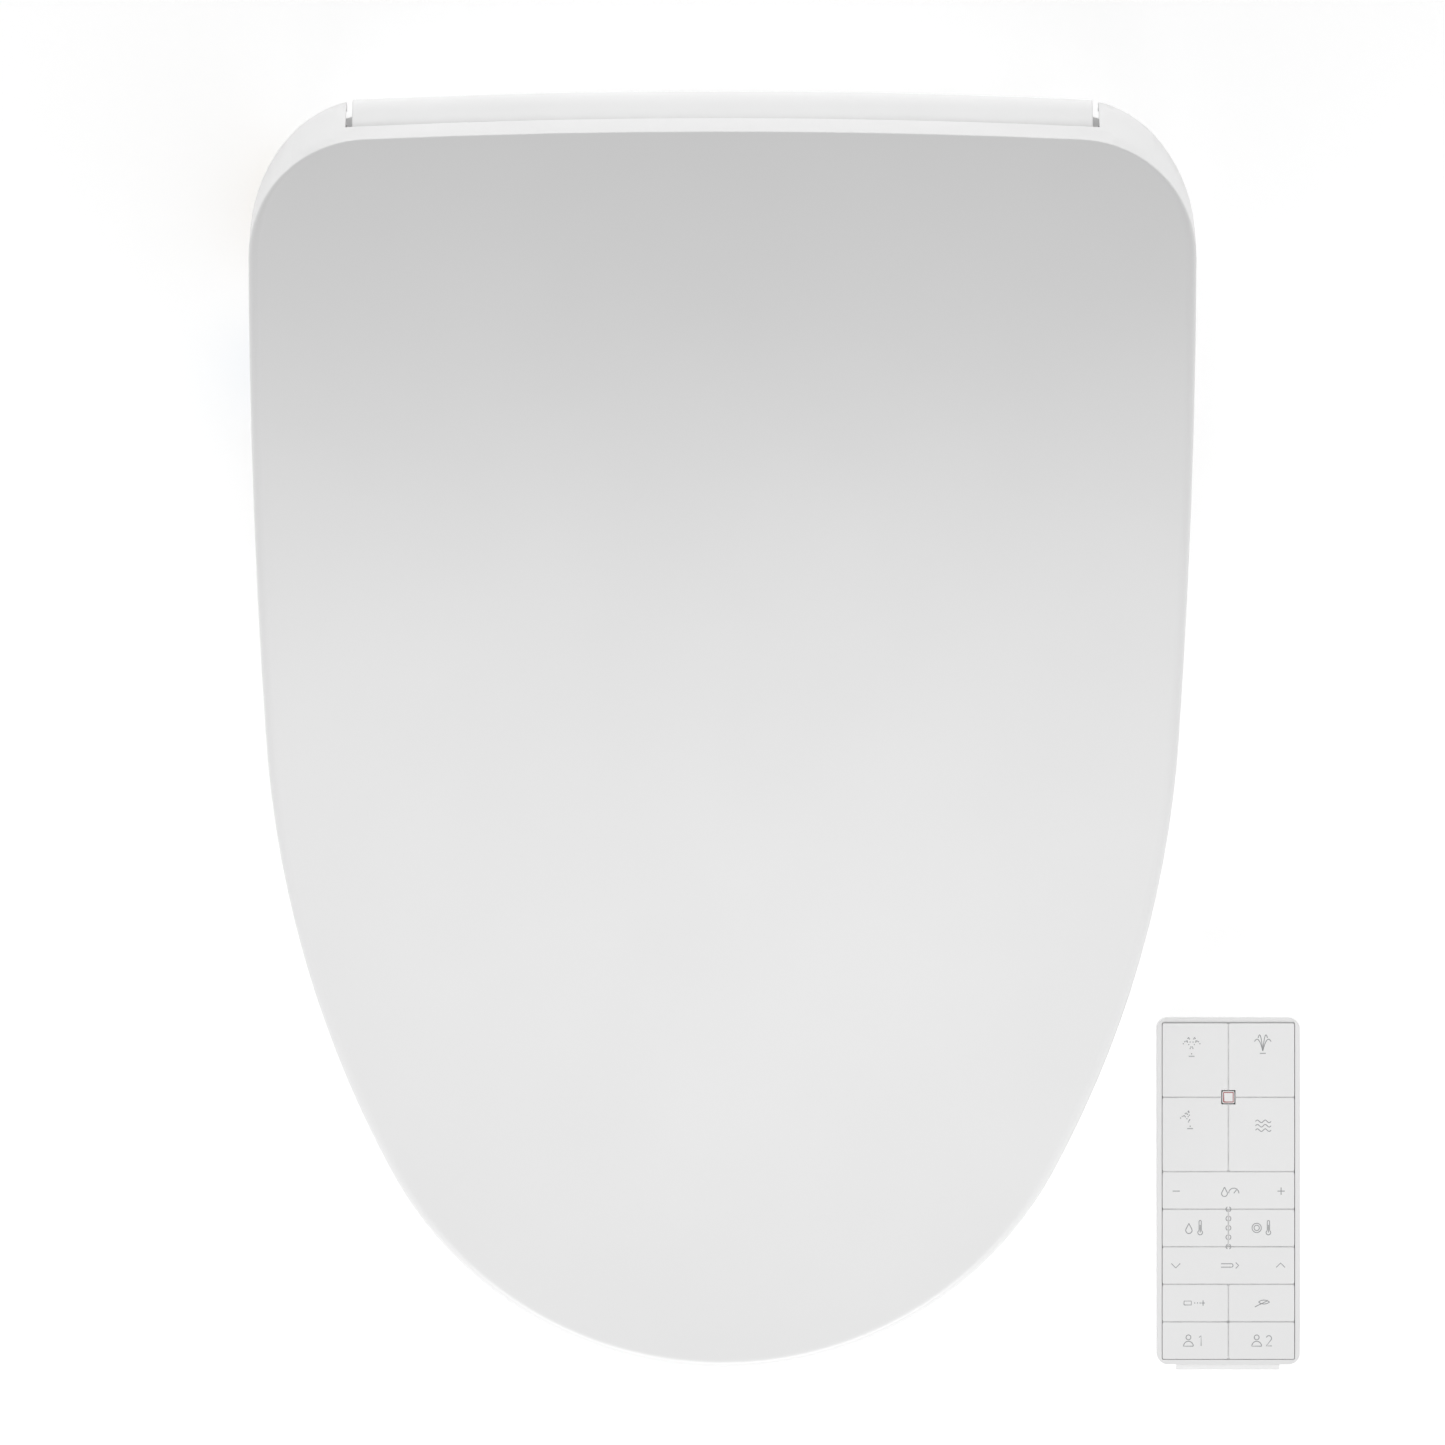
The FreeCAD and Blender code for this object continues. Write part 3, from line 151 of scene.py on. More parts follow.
class BIDET_PG_finish(bpy.types.PropertyGroup):
    """Colours of the mouldings"""

    lid: bpy.props.FloatVectorProperty(
        name="Lid", description="Colour of the lid", size=3, subtype="COLOR",
        default=(0.83, 0.83, 0.83))
    seat: bpy.props.FloatVectorProperty(
        name="Seat", description="Colour of the seat ring", size=3, subtype="COLOR",
        default=(0.82, 0.82, 0.815))
    case: bpy.props.FloatVectorProperty(
        name="Case", description="Colour of the base unit", size=3, subtype="COLOR",
        default=(0.83, 0.83, 0.83))
    remote: bpy.props.FloatVectorProperty(
        name="Remote", description="Colour of the remote's case", size=3, subtype="COLOR",
        default=(0.9, 0.9, 0.9))
    keys: bpy.props.FloatVectorProperty(
        name="Keys", description="Colour of the keys", size=3, subtype="COLOR",
        default=(0.91, 0.91, 0.91))
    gloss: bpy.props.FloatProperty(
        name="Gloss", description="Roughness of the polished mouldings", default=0.3, min=0.05, max=1.0)


class BIDET_PG_studio(bpy.types.PropertyGroup):
    """The room that the seat stands in"""

    overhead: bpy.props.FloatProperty(
        name="Overhead", description="Brightness of the ceiling", default=0.4, min=0.0)
    horizon: bpy.props.FloatProperty(
        name="Horizon", description="Brightness of the walls", default=0.68, min=0.0)
    front_light: bpy.props.FloatProperty(
        name="Front light", description="Power of the low light before the nose", default=12.0, min=0.0)
    rear_light: bpy.props.FloatProperty(
        name="Rear light", description="Power of the low light behind the hinge", default=10.5, min=0.0)
    middle_light: bpy.props.FloatProperty(
        name="Middle light", description="Power of the light close over the lid", default=0.44, min=0.0)
    floor_glow: bpy.props.FloatProperty(
        name="Floor glow", description="Light that the white floor gives off", default=0.36, min=0.0)
    lens: bpy.props.FloatProperty(
        name="Lens", description="Focal length in millimetres", default=450.0, min=20.0)
    view_width: bpy.props.FloatProperty(
        name="View width", description="Width of the picture at the lid",
        default=0.5865, unit="LENGTH")
    view_y: bpy.props.FloatProperty(
        name="View centre", description="Where along the seat the camera looks",
        default=-0.2113, unit="LENGTH")


# ---------------------------------------------------------------- finishes

def new_finish(name):
    """A material with its shader, and a helper that adds and links nodes."""
    material = bpy.data.materials.new(name)
    material.use_nodes = True
    tree = material.node_tree
    shader = tree.nodes["Principled BSDF"]
    where = tree.nodes.new("ShaderNodeTexCoord").outputs["Object"]

    def add(kind, links=(), **settings):
        made = tree.nodes.new(kind)
        for key, value in settings.items():
            if hasattr(made, key):
                setattr(made, key, value)
            else:
                made.inputs[key.replace("_", " ")].default_value = value
        for socket, source in links:
            tree.links.new(source, made.inputs[socket])
        return made

    def link(source, socket):
        tree.links.new(source, shader.inputs[socket])

    return material, shader, where, add, link


def mixed(add, factor, dark, light):
    """A colour between two by a factor."""
    ramp = add("ShaderNodeValToRGB", [("Fac", factor)])
    ramp.color_ramp.elements[0].position = 0.3
    ramp.color_ramp.elements[1].position = 0.7
    ramp.color_ramp.elements[0].color = (*dark, 1)
    ramp.color_ramp.elements[1].color = (*light, 1)
    return ramp.outputs["Color"]


def shade(colour, share):
    return tuple(c * share for c in colour)


def edge_normal(add, radius):
    """The small radius that a mould leaves on every edge."""
    return add("ShaderNodeBevel", samples=4, Radius=radius).outputs["Normal"]


def moulded(name, colour, roughness, grain=0.00002, grain_size=0.0009, edge=0.0005, coat=0.0):
    """Injection-moulded plastic: a fine grain, slight flow marks and a softly worn sheen."""
    material, shader, where, add, link = new_finish(name)
    flow = add("ShaderNodeTexNoise", [("Vector", where)], Scale=9.0, Detail=3.0, Roughness=0.55)
    link(mixed(add, flow.outputs["Fac"], shade(colour, 0.975), colour), "Base Color")
    wear = add("ShaderNodeTexNoise", [("Vector", where)], Scale=42.0, Detail=5.0, Roughness=0.6)
    rough = add("ShaderNodeMapRange", [("Value", wear.outputs["Fac"])])
    rough.inputs["To Min"].default_value = max(roughness - 0.05, 0.02)
    rough.inputs["To Max"].default_value = roughness + 0.06
    link(rough.outputs["Result"], "Roughness")
    skin = add("ShaderNodeTexNoise", [("Vector", where)], Scale=1 / grain_size, Detail=2.0)
    bump = add("ShaderNodeBump", [("Height", skin.outputs["Fac"])], Strength=0.35, Distance=grain)
    if edge:
        bump.id_data.links.new(edge_normal(add, edge), bump.inputs["Normal"])
    link(bump.outputs["Normal"], "Normal")
    shader.inputs["Coat Weight"].default_value = coat
    shader.inputs["Coat Roughness"].default_value = 0.12
    return material


def rubber(name, colour):
    """Silicone or rubber: matt, with a dusty bloom."""
    material, shader, where, add, link = new_finish(name)
    bloom = add("ShaderNodeTexNoise", [("Vector", where)], Scale=130.0, Detail=6.0, Roughness=0.7)
    link(mixed(add, bloom.outputs["Fac"], shade(colour, 0.8), shade(colour, 1.15)), "Base Color")
    skin = add("ShaderNodeTexVoronoi", [("Vector", where)], Scale=1400.0)
    bump = add("ShaderNodeBump", [("Height", skin.outputs["Distance"])], Strength=0.3, Distance=0.00004)
    link(bump.outputs["Normal"], "Normal")
    shader.inputs["Roughness"].default_value = 0.72
    shader.inputs["Sheen Weight"].default_value = 0.15
    return material


def brushed(name, colour, roughness, stretch=(1.0, 0.03, 1.0), anisotropy=0.4):
    """Metal with fine lines from its last polish."""
    material, shader, where, add, link = new_finish(name)
    lined = add("ShaderNodeMapping", [("Vector", where)])
    lined.inputs["Scale"].default_value = stretch
    lines = add("ShaderNodeTexNoise", [("Vector", lined.outputs["Vector"])], Scale=2600.0, Detail=3.0)
    tarnish = add("ShaderNodeTexNoise", [("Vector", where)], Scale=70.0, Detail=4.0)
    link(mixed(add, tarnish.outputs["Fac"], shade(colour, 0.86), colour), "Base Color")
    rough = add("ShaderNodeMapRange", [("Value", lines.outputs["Fac"])])
    rough.inputs["To Min"].default_value = roughness * 0.7
    rough.inputs["To Max"].default_value = roughness * 1.35
    link(rough.outputs["Result"], "Roughness")
    bump = add("ShaderNodeBump", [("Height", lines.outputs["Fac"])], Strength=0.25, Distance=0.00003)
    link(bump.outputs["Normal"], "Normal")
    shader.inputs["Metallic"].default_value = 1.0
    shader.inputs["Anisotropic"].default_value = anisotropy
    return material


def circuit(name):
    """Green solder mask over copper tracks, with tinned pads."""
    material, shader, where, add, link = new_finish(name)
    tracks = add("ShaderNodeTexBrick", [("Vector", where)], Scale=210.0)
    tracks.offset = 0.37
    tracks.squash = 0.6
    tracks.inputs["Color1"].default_value = (0.004, 0.075, 0.03, 1)
    tracks.inputs["Color2"].default_value = (0.006, 0.11, 0.045, 1)
    tracks.inputs["Mortar"].default_value = (0.03, 0.19, 0.07, 1)
    tracks.inputs["Mortar Size"].default_value = 0.035
    pads = add("ShaderNodeTexVoronoi", [("Vector", where)], Scale=420.0)
    spot = add("ShaderNodeMath", [(0, pads.outputs["Distance"])], operation="LESS_THAN")
    spot.inputs[1].default_value = 0.16
    tinned = add("ShaderNodeMix", [("Factor", spot.outputs["Value"])], data_type="RGBA")
    tree = material.node_tree
    tree.links.new(tracks.outputs["Color"], tinned.inputs[MIX_FIRST])
    tinned.inputs[MIX_SECOND].default_value = (0.55, 0.53, 0.48, 1)
    link(tinned.outputs[MIX_COLOUR], "Base Color")
    bump = add("ShaderNodeBump", [("Height", tracks.outputs["Fac"])], Strength=0.4, Distance=0.00006)
    link(bump.outputs["Normal"], "Normal")
    shader.inputs["Roughness"].default_value = 0.32
    shader.inputs["Coat Weight"].default_value = 0.4
    return material


def foil(name):
    """Crinkled aluminium foil over the heating wire."""
    material, shader, where, add, link = new_finish(name)
    wire = add("ShaderNodeTexWave", [("Vector", where)], Scale=34.0, Distortion=1.2, Detail=1.0)
    wire.bands_direction = "Y"
    crinkle = add("ShaderNodeTexVoronoi", [("Vector", where)], Scale=190.0)
    height = add("ShaderNodeMath", [(0, wire.outputs["Fac"]), (1, crinkle.outputs["Distance"])],
                 operation="ADD")
    bump = add("ShaderNodeBump", [("Height", height.outputs["Value"])], Strength=0.5, Distance=0.0003)
    link(bump.outputs["Normal"], "Normal")
    link(mixed(add, wire.outputs["Fac"], (0.62, 0.62, 0.63), (0.78, 0.78, 0.79)), "Base Color")
    shader.inputs["Metallic"].default_value = 1.0
    shader.inputs["Roughness"].default_value = 0.33
    return material


def wrapped_cell(name):
    """A dry cell's wrapper, banded along its length, part metallic all over."""
    material, shader, where, add, link = new_finish(name)
    bands = add("ShaderNodeTexWave", [("Vector", where)], Scale=7.0, Detail=0.0)
    bands.bands_direction = "Y"
    scuffs = add("ShaderNodeTexNoise", [("Vector", where)], Scale=600.0, Detail=4.0)
    link(mixed(add, bands.outputs["Fac"], (0.05, 0.055, 0.065), (0.55, 0.56, 0.58)), "Base Color")
    bump = add("ShaderNodeBump", [("Height", scuffs.outputs["Fac"])], Strength=0.1, Distance=0.00003)
    link(bump.outputs["Normal"], "Normal")
    shader.inputs["Metallic"].default_value = 0.75
    shader.inputs["Roughness"].default_value = 0.28
    return material


def see_through(name, colour, roughness, weight, ior=1.46):
    """Clear or smoked plastic with faint flow streaks."""
    material, shader, where, add, link = new_finish(name)
    streaks = add("ShaderNodeTexNoise", [("Vector", where)], Scale=55.0, Detail=3.0)
    link(mixed(add, streaks.outputs["Fac"], shade(colour, 0.88), colour), "Base Color")
    bump = add("ShaderNodeBump", [("Height", streaks.outputs["Fac"])], Strength=0.2, Distance=0.0001)
    link(bump.outputs["Normal"], "Normal")
    shader.inputs["Roughness"].default_value = roughness
    shader.inputs["Transmission Weight"].default_value = weight
    shader.inputs["IOR"].default_value = ior
    return material


def printed(name, colour):
    """Screen-printed ink, slightly uneven where it was pressed on."""
    material, shader, where, add, link = new_finish(name)
    dots = add("ShaderNodeTexNoise", [("Vector", where)], Scale=2400.0, Detail=2.0)
    link(mixed(add, dots.outputs["Fac"], shade(colour, 0.9), shade(colour, 1.08)), "Base Color")
    bump = add("ShaderNodeBump", [("Height", dots.outputs["Fac"])], Strength=0.2, Distance=0.00001)
    link(bump.outputs["Normal"], "Normal")
    shader.inputs["Roughness"].default_value = 0.5
    return material


FINISHES = {}


class BIDET_OT_finishes(bpy.types.Operator):
    """Make every finish and give it to the nodes that the design already shapes rightly"""

    bl_idname = "bidet.finishes"
    bl_label = "Finishes"

    def execute(self, context):
        colour = context.scene.bidet_finish
        marks = context.scene.bidet_marks
        white_rubber = (0.62, 0.62, 0.6)
        FINISHES.update({
            "lid_plastic": moulded("polished lid plastic", colour.lid, colour.gloss, edge=0.0, coat=0.12),
            "seat_plastic": moulded("warm seat plastic", colour.seat, colour.gloss, edge=0.0, coat=0.12),
            "case_plastic": moulded("satin case plastic", colour.case, colour.gloss + 0.08, edge=0.0008),
            "bumper_rubber": rubber("bumper rubber", white_rubber),
            "remote_plastic": moulded("remote case plastic", colour.remote, 0.42, edge=0.0004),
            "stop_key_plastic": moulded("stop key plastic", colour.keys, 0.45, edge=0.0002),
            "key_plastic": moulded("key plastic", colour.keys, 0.48, 0.00003, 0.0005, edge=0.00025),
            "key_mat_rubber": rubber("key mat rubber", (0.8, 0.8, 0.8)),
            "circuit_board": circuit("circuit board"),
            "battery_metal": wrapped_cell("dry cell"),
            "nozzle_steel": brushed("nozzle steel", (0.72, 0.72, 0.72), 0.16),
            "nozzle_plastic": moulded("nozzle plastic", (0.74, 0.75, 0.76), 0.3, edge=0.0004),
            "steel": brushed("zinc-plated steel", (0.6, 0.61, 0.62), 0.3, (1.0, 1.0, 0.05)),
            "motor_metal": brushed("motor can", (0.5, 0.5, 0.5), 0.36, (1.0, 1.0, 0.06), 0.2),
            "heater_foil": foil("heater foil"),
            "brass_fitting": brushed("turned brass", (0.72, 0.5, 0.2), 0.26, (0.05, 1.0, 1.0)),
            "grey_plastic": moulded("grey works plastic", (0.36, 0.37, 0.38), 0.5, 0.00004, 0.0007),
            "bracket_plastic": moulded("bracket nylon", (0.6, 0.6, 0.59), 0.55, 0.00005, 0.0008),
            "dark_window": see_through("smoked window", (0.03, 0.012, 0.014), 0.08, 0.5),
            "clear_hose": see_through("clear hose", (0.78, 0.84, 0.86), 0.12, 0.85, 1.41),
            "button_plastic": moulded("button plastic", (0.7, 0.71, 0.72), 0.36, edge=0.0005),
            "filter_plastic": moulded("filter plastic", (0.33, 0.5, 0.68), 0.34, edge=0.0006),
            "ink": printed("grey ink", marks.ink),
            "stop_ink": printed("red ink", marks.stop_ink),
        })
        for node in frame["nodes"].values():
            for held in node.material_slots:
                held.material = FINISHES[held.material.name.split(".")[0]]
        return {"FINISHED"}


# ---------------------------------------------------------------- mouldings with a rolled edge

def finished(name, mesh, finish, body, replaced=()):
    """A piece from a bmesh: linked, finished, riding on its body."""
    data = bpy.data.meshes.new(name)
    mesh.to_mesh(data)
    mesh.free()
    piece = bpy.data.objects.new(name, data)
    bpy.context.scene.collection.objects.link(piece)
    data.materials.append(FINISHES[finish])
    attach(piece, body)
    if replaced:
        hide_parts(*replaced)
    return piece


def merged_copy(node):
    """A node's own shape as one closed mesh."""
    mesh = bmesh.new()
    mesh.from_mesh(frame["nodes"][node].data)
    bmesh.ops.remove_doubles(mesh, verts=mesh.verts, dist=MERGE_WITHIN)
    mesh.normal_update()
    return mesh


def rim_of(faces):
    """The outline of a patch of faces, as pairs of points."""
    inside = set(faces)
    edges = {e for f in faces for e in f.edges if sum(g in inside for g in e.link_faces) == 1}
    return [(e.verts[0].co.copy(), e.verts[1].co.copy()) for e in edges]


def holes_in(outline):
    """The segments of an outline's closed loops, but for the widest loop."""
    loops = []
    for a, b in outline:
        ends = {(round(p.x, 6), round(p.y, 6)) for p in (a, b)}
        meeting = [loop for loop in loops if loop[0] & ends]
        loops = [loop for loop in loops if not loop[0] & ends]
        loops.append((ends.union(*(loop[0] for loop in meeting)),
                      [(a, b)] + [segment for loop in meeting for segment in loop[1]]))
    loops.sort(key=lambda loop: max(x for x, y in loop[0]))
    return [segment for loop in loops[:-1] for segment in loop[1]]


def plan_distance(point, segments):
    """How far a point lies from an outline, seen from above, or a metre where it is out of reach."""
    flat = point.xy
    best = 1.0
    for a, b in segments:
        if min(a.x, b.x) - LONGEST_ROLL > flat.x or max(a.x, b.x) + LONGEST_ROLL < flat.x:
            continue
        if min(a.y, b.y) - LONGEST_ROLL > flat.y or max(a.y, b.y) + LONGEST_ROLL < flat.y:
            continue
        near, share = intersect_point_line(flat, a.xy, b.xy)
        near = a.xy.lerp(b.xy, min(max(share, 0.0), 1.0))
        best = min(best, (near - flat).length)
    return best


def lowered_walls(mesh, touched, outline, surface, thickness=0.001, margin=0.0001):
    """Keeps a wall's own points, and those of the cavity behind it, below the rolled surface."""
    for v in set(mesh.verts).difference(touched):
        distance = plan_distance(v.co, outline)
        highest = surface(v.co, distance) - (margin if distance < margin else thickness)
        if v.co.z > highest:
            v.co.z = highest


def rolled_top(mesh, top, steps, crown, drop, spacing):
    """Shapes a patch of a mesh's top: rings of faces inside its rim, a grid within, then heights."""
    outline = rim_of(top)
    region = bmesh.ops.dissolve_faces(mesh, faces=top, use_verts=False)["region"]
    touched = {v for f in region for v in f.verts}
    for step in steps:
        ring = bmesh.ops.inset_region(
            mesh, faces=region, thickness=step, use_boundary=True, use_even_offset=True)["faces"]
        touched.update(v for f in ring for v in f.verts)
    low = [min(v.co[i] for v in touched) for i in (0, 1)]
    high = [max(v.co[i] for v in touched) for i in (0, 1)]
    field = list(region)
    for i, normal in enumerate(((1, 0, 0), (0, 1, 0))):
        count = int((high[i] - low[i]) / spacing)
        for k in range(1, count):
            at = low[i] + (high[i] - low[i]) * k / count
            parts = set(field)
            parts.update(e for f in field for e in f.edges)
            parts.update(v for f in field for v in f.verts)
            point = [0.0, 0.0, 0.0]
            point[i] = at
            cut = bmesh.ops.bisect_plane(
                mesh, geom=list(parts), dist=CUT_WITHIN, plane_co=point, plane_no=normal)
            field = [g for g in cut["geom"] if isinstance(g, bmesh.types.BMFace)]
    touched.update(v for f in field for v in f.verts)
    touched = [v for v in touched if v.is_valid]
    for v in touched:
        v.co.z = crown(v.co) - drop(v.co, plan_distance(v.co, outline))
    lowered_walls(mesh, touched, outline, lambda co, distance: crown(co) - drop(co, distance))


def roll(distance, width, depth):
    """Drop of a quarter-round edge at a distance inside the rim."""
    if distance >= width:
        return 0.0
    share = 1 - distance / width
    return depth * (1 - math.sqrt(max(1 - share * share, 0.0)))


def crisp(mesh, angle):
    """Smooth shading that breaks at the real corners."""
    mesh.normal_update()
    for f in mesh.faces:
        f.smooth = True
    for e in mesh.edges:
        e.smooth = e.is_manifold and e.calc_face_angle(0.0) < math.radians(angle)


def weighted(piece):
    """Keeps the broad faces even where they meet a small radius."""
    modifier = piece.modifiers.new("even shading", "WEIGHTED_NORMAL")
    modifier.keep_sharp = True
    modifier.weight = 80


def between(low, high, value):
    """An even blend from 0 at low to 1 at high."""
    share = min(max((value - low) / (high - low), 0.0), 1.0)
    return share * share * (3 - 2 * share)


class BIDET_OT_lid(bpy.types.Operator):
    """Model the lid, crowned along its length, with its edge rolled over"""

    bl_idname = "bidet.lid"
    bl_label = "Lid"

    def execute(self, context):
        shape = context.scene.bidet_lid
        front_y = LID_LOW.y
        length = shape.crease_y - front_y

        def crown(co):
            share = (shape.crease_y - co.y) / length
            slope = shape.rear_height + (shape.front_height - shape.rear_height) * share
            return slope + 4 * shape.crown_rise * share * (1 - share)

        def edge(co, distance):
            side = between(*LID_CREASE_ENDS, co.y)
            nose = between(*LID_NOSE_ENDS, co.y)
            radius = shape.crease_edge + (shape.side_edge - shape.crease_edge) * side
            radius += (shape.nose_edge - shape.side_edge) * nose
            return roll(distance, radius, radius)

        mesh = merged_copy("lid_shell")
        top = [f for f in mesh.faces
               if f.normal.z > FACES_UP and all(abs(v.co.z - crown(v.co)) < 0.0008 for v in f.verts)]
        rolled_top(mesh, top, LID_RINGS, crown, edge, LID_GRID)
        crisp(mesh, 34)
        weighted(finished("lid_cover", mesh, "lid_plastic", "lid", ["lid_shell"]))
        return {"FINISHED"}


class BIDET_OT_seat(bpy.types.Operator):
    """Model the seat ring, rolled into its opening and over its outer edge"""

    bl_idname = "bidet.seat"
    bl_label = "Seat ring"

    def execute(self, context):
        shape = context.scene.bidet_seat
        mesh = merged_copy("seat_shell")
        flat = [f for f in mesh.faces if f.normal.z > FACES_UP and f.calc_center_median().z > 0.03]
        broadest = max(flat, key=lambda f: f.calc_area())
        normal, point = broadest.normal.copy(), broadest.verts[0].co.copy()

        def sitting(co):
            return point.z - (normal.x * (co.x - point.x) + normal.y * (co.y - point.y)) / normal.z

        top = [f for f in flat if all(abs(v.co.z - sitting(v.co)) < 0.0004 for v in f.verts)]
        parts = set(top)
        parts.update(e for f in top for e in f.edges)
        parts.update(v for f in top for v in f.verts)
        halved = bmesh.ops.bisect_plane(
            mesh, geom=list(parts), dist=CUT_WITHIN, plane_co=(0, 0, 0), plane_no=(1, 0, 0))["geom"]
        top = [g for g in halved if isinstance(g, bmesh.types.BMFace)]
        rear = max(v.co.y for f in top for v in f.verts)

        outline = rim_of(top)
        opening = holes_in(outline)

        def edge(co, distance):
            if plan_distance(co, opening) <= distance:
                return roll(distance, shape.hole_width, shape.hole_drop)
            at_rear = between(rear - SEAT_REAR_ENDS[0], rear - SEAT_REAR_ENDS[1], co.y)
            return roll(distance, shape.outer_width, shape.outer_drop * (1 - SEAT_REAR_LOSS * at_rear))

        right = [f for f in top if f.calc_center_median().x > 0]
        left = [f for f in top if f.calc_center_median().x <= 0]
        halves = []
        for half in (left, right):
            halves += bmesh.ops.dissolve_faces(mesh, faces=half, use_verts=False)["region"]
        touched = {v for f in halves for v in f.verts}
        for step in SEAT_RINGS:
            ring = bmesh.ops.inset_region(
                mesh, faces=halves, thickness=step, use_boundary=True, use_even_offset=True)["faces"]
            touched.update(v for f in ring for v in f.verts)

        def surface(co, distance):
            return sitting(co) - edge(co, distance)

        touched = [v for v in touched if v.is_valid]
        for v in touched:
            v.co.z = surface(v.co, plan_distance(v.co, outline))
        lowered_walls(mesh, touched, outline, surface)
        bmesh.ops.triangulate(mesh, faces=[f for f in halves if f.is_valid])
        crisp(mesh, 36)
        weighted(finished("seat_ring", mesh, "seat_plastic", "seat", ["seat_shell"]))
        return {"FINISHED"}


# ---------------------------------------------------------------- pictograms

SIDEWAYS = Matrix(((0, 0, 1), (1, 0, 0), (0, 1, 0)))


def arc(x, y, radius, start, end, count=14):
    """Points along an arc, in degrees anticlockwise from the right."""
    turn = (end - start) / count
    return [(x + radius * math.cos(math.radians(start + turn * i)),
             y + radius * math.sin(math.radians(start + turn * i))) for i in range(count + 1)]


def stream(x, y, reach, height, count=12):
    """A jet that rises and falls over to one side."""
    return [(x + reach * i / count, y + height * (1 - (1 - 1.45 * i / count) ** 2))
            for i in range(count + 1)]


def dotted(points, radius=0.1):
    """Small dots in place of a line."""
    return [arc(x, y, radius, 0, 360, 6) for x, y in points[::2]]


def fountain(streams, dots):
    """Jets over a short base line, as dots or as lines."""
    lines = []
    for reach, height in streams:
        path = stream(0, -2.2, reach, height)
        lines += dotted(path) if dots else [path]
    return lines + [[(-1.2, -3.2), (1.2, -3.2)]]


def wave(y):
    return [(-3.2 + 0.4 * i, y + 0.55 * math.sin(i * math.pi / 4)) for i in range(17)]


def level_beads(start, end):
    """One side of five beads that stand in a row on the gap between two keys."""
    return [arc(0, 3.83 * i - 7.66, 1.0, start, end, 14) for i in range(5)]


def person(digit):
    """A head and shoulders beside its number."""
    head = arc(-2.4, 1.3, 1.0, 0, 360, 18)
    body = arc(-2.4, -2.3, 2.0, 0, 180, 14)
    one = [[(2.0, 1.3), (2.8, 2.0), (2.8, -2.2)]]
    two = [arc(2.6, 0.9, 1.1, 160, -35, 10) + [(1.5, -2.2), (3.8, -2.2)]]
    return [head, body + [body[0]]] + (one if digit == 1 else two)


def thermometer(x):
    return [[(x - 0.45, -1.0), (x - 0.45, 2.6)] + arc(x, 2.6, 0.45, 180, 0, 6) + [(x + 0.45, -1.0)],
            arc(x, -1.9, 0.95, 120, 420, 18), [(x, -1.9), (x, 1.2)]]


def droplet(x, y, size):
    sides = arc(x, y, size, -210, 30, 18)
    return [[(x, y + 2.2 * size)] + sides + [(x, y + 2.2 * size)]]


def seat_outline(x, y):
    return [arc(x, y, 1.9, 0, 360, 22), arc(x, y, 1.1, 0, 360, 18)]


def leaf():
    upper = arc(0.6, -2.4, 3.6, 52, 128, 10)
    lower = arc(0.6, 3.2, 3.6, -128, -52, 10)
    return [upper, lower, [(-3.2, -1.6), (2.0, 0.9)]]


def nozzle_spark():
    return [[(-4.2, -0.8), (-1.2, -0.8), (-1.2, 0.8), (-4.2, 0.8), (-4.2, -0.8)],
            *(arc(x, 0.0, 0.1, 0, 360, 6) for x in (0.2, 1.3, 2.4)),
            [(3.6, -1.1), (3.6, 1.1)], [(2.9, 0.0), (4.3, 0.0)]]


MINUS = [[(-1.5, 0), (1.5, 0)]]
PLUS = [[(-1.5, 0), (1.5, 0)], [(0, -1.5), (0, 1.5)]]
CHEVRON_DOWN = [[(-1.8, 0.9), (0, -0.9), (1.8, 0.9)]]
CHEVRON_UP = [[(-1.8, -0.9), (0, 0.9), (1.8, -0.9)]]
GAUGE = [arc(0.6, -0.9, 2.1, 0, 180, 14), [(0.6, -0.9), (1.7, 0.5)]]
NOZZLE_MOVES = [[(-3.0, -0.7), (1.2, -0.7)] + arc(1.2, 0.0, 0.7, -90, 90, 8) + [(-3.0, 0.7)],
                [(3.0, -1.2), (4.2, 0.0), (3.0, 1.2)]]
STOP_FRAME = [[(-1.95, -1.95), (1.95, -1.95), (1.95, 1.95), (-1.95, 1.95), (-1.95, -1.95)]]
SQUARE = [[(-1.6, -1.6), (1.6, -1.6), (1.6, 1.6), (-1.6, 1.6), (-1.6, -1.6)]]

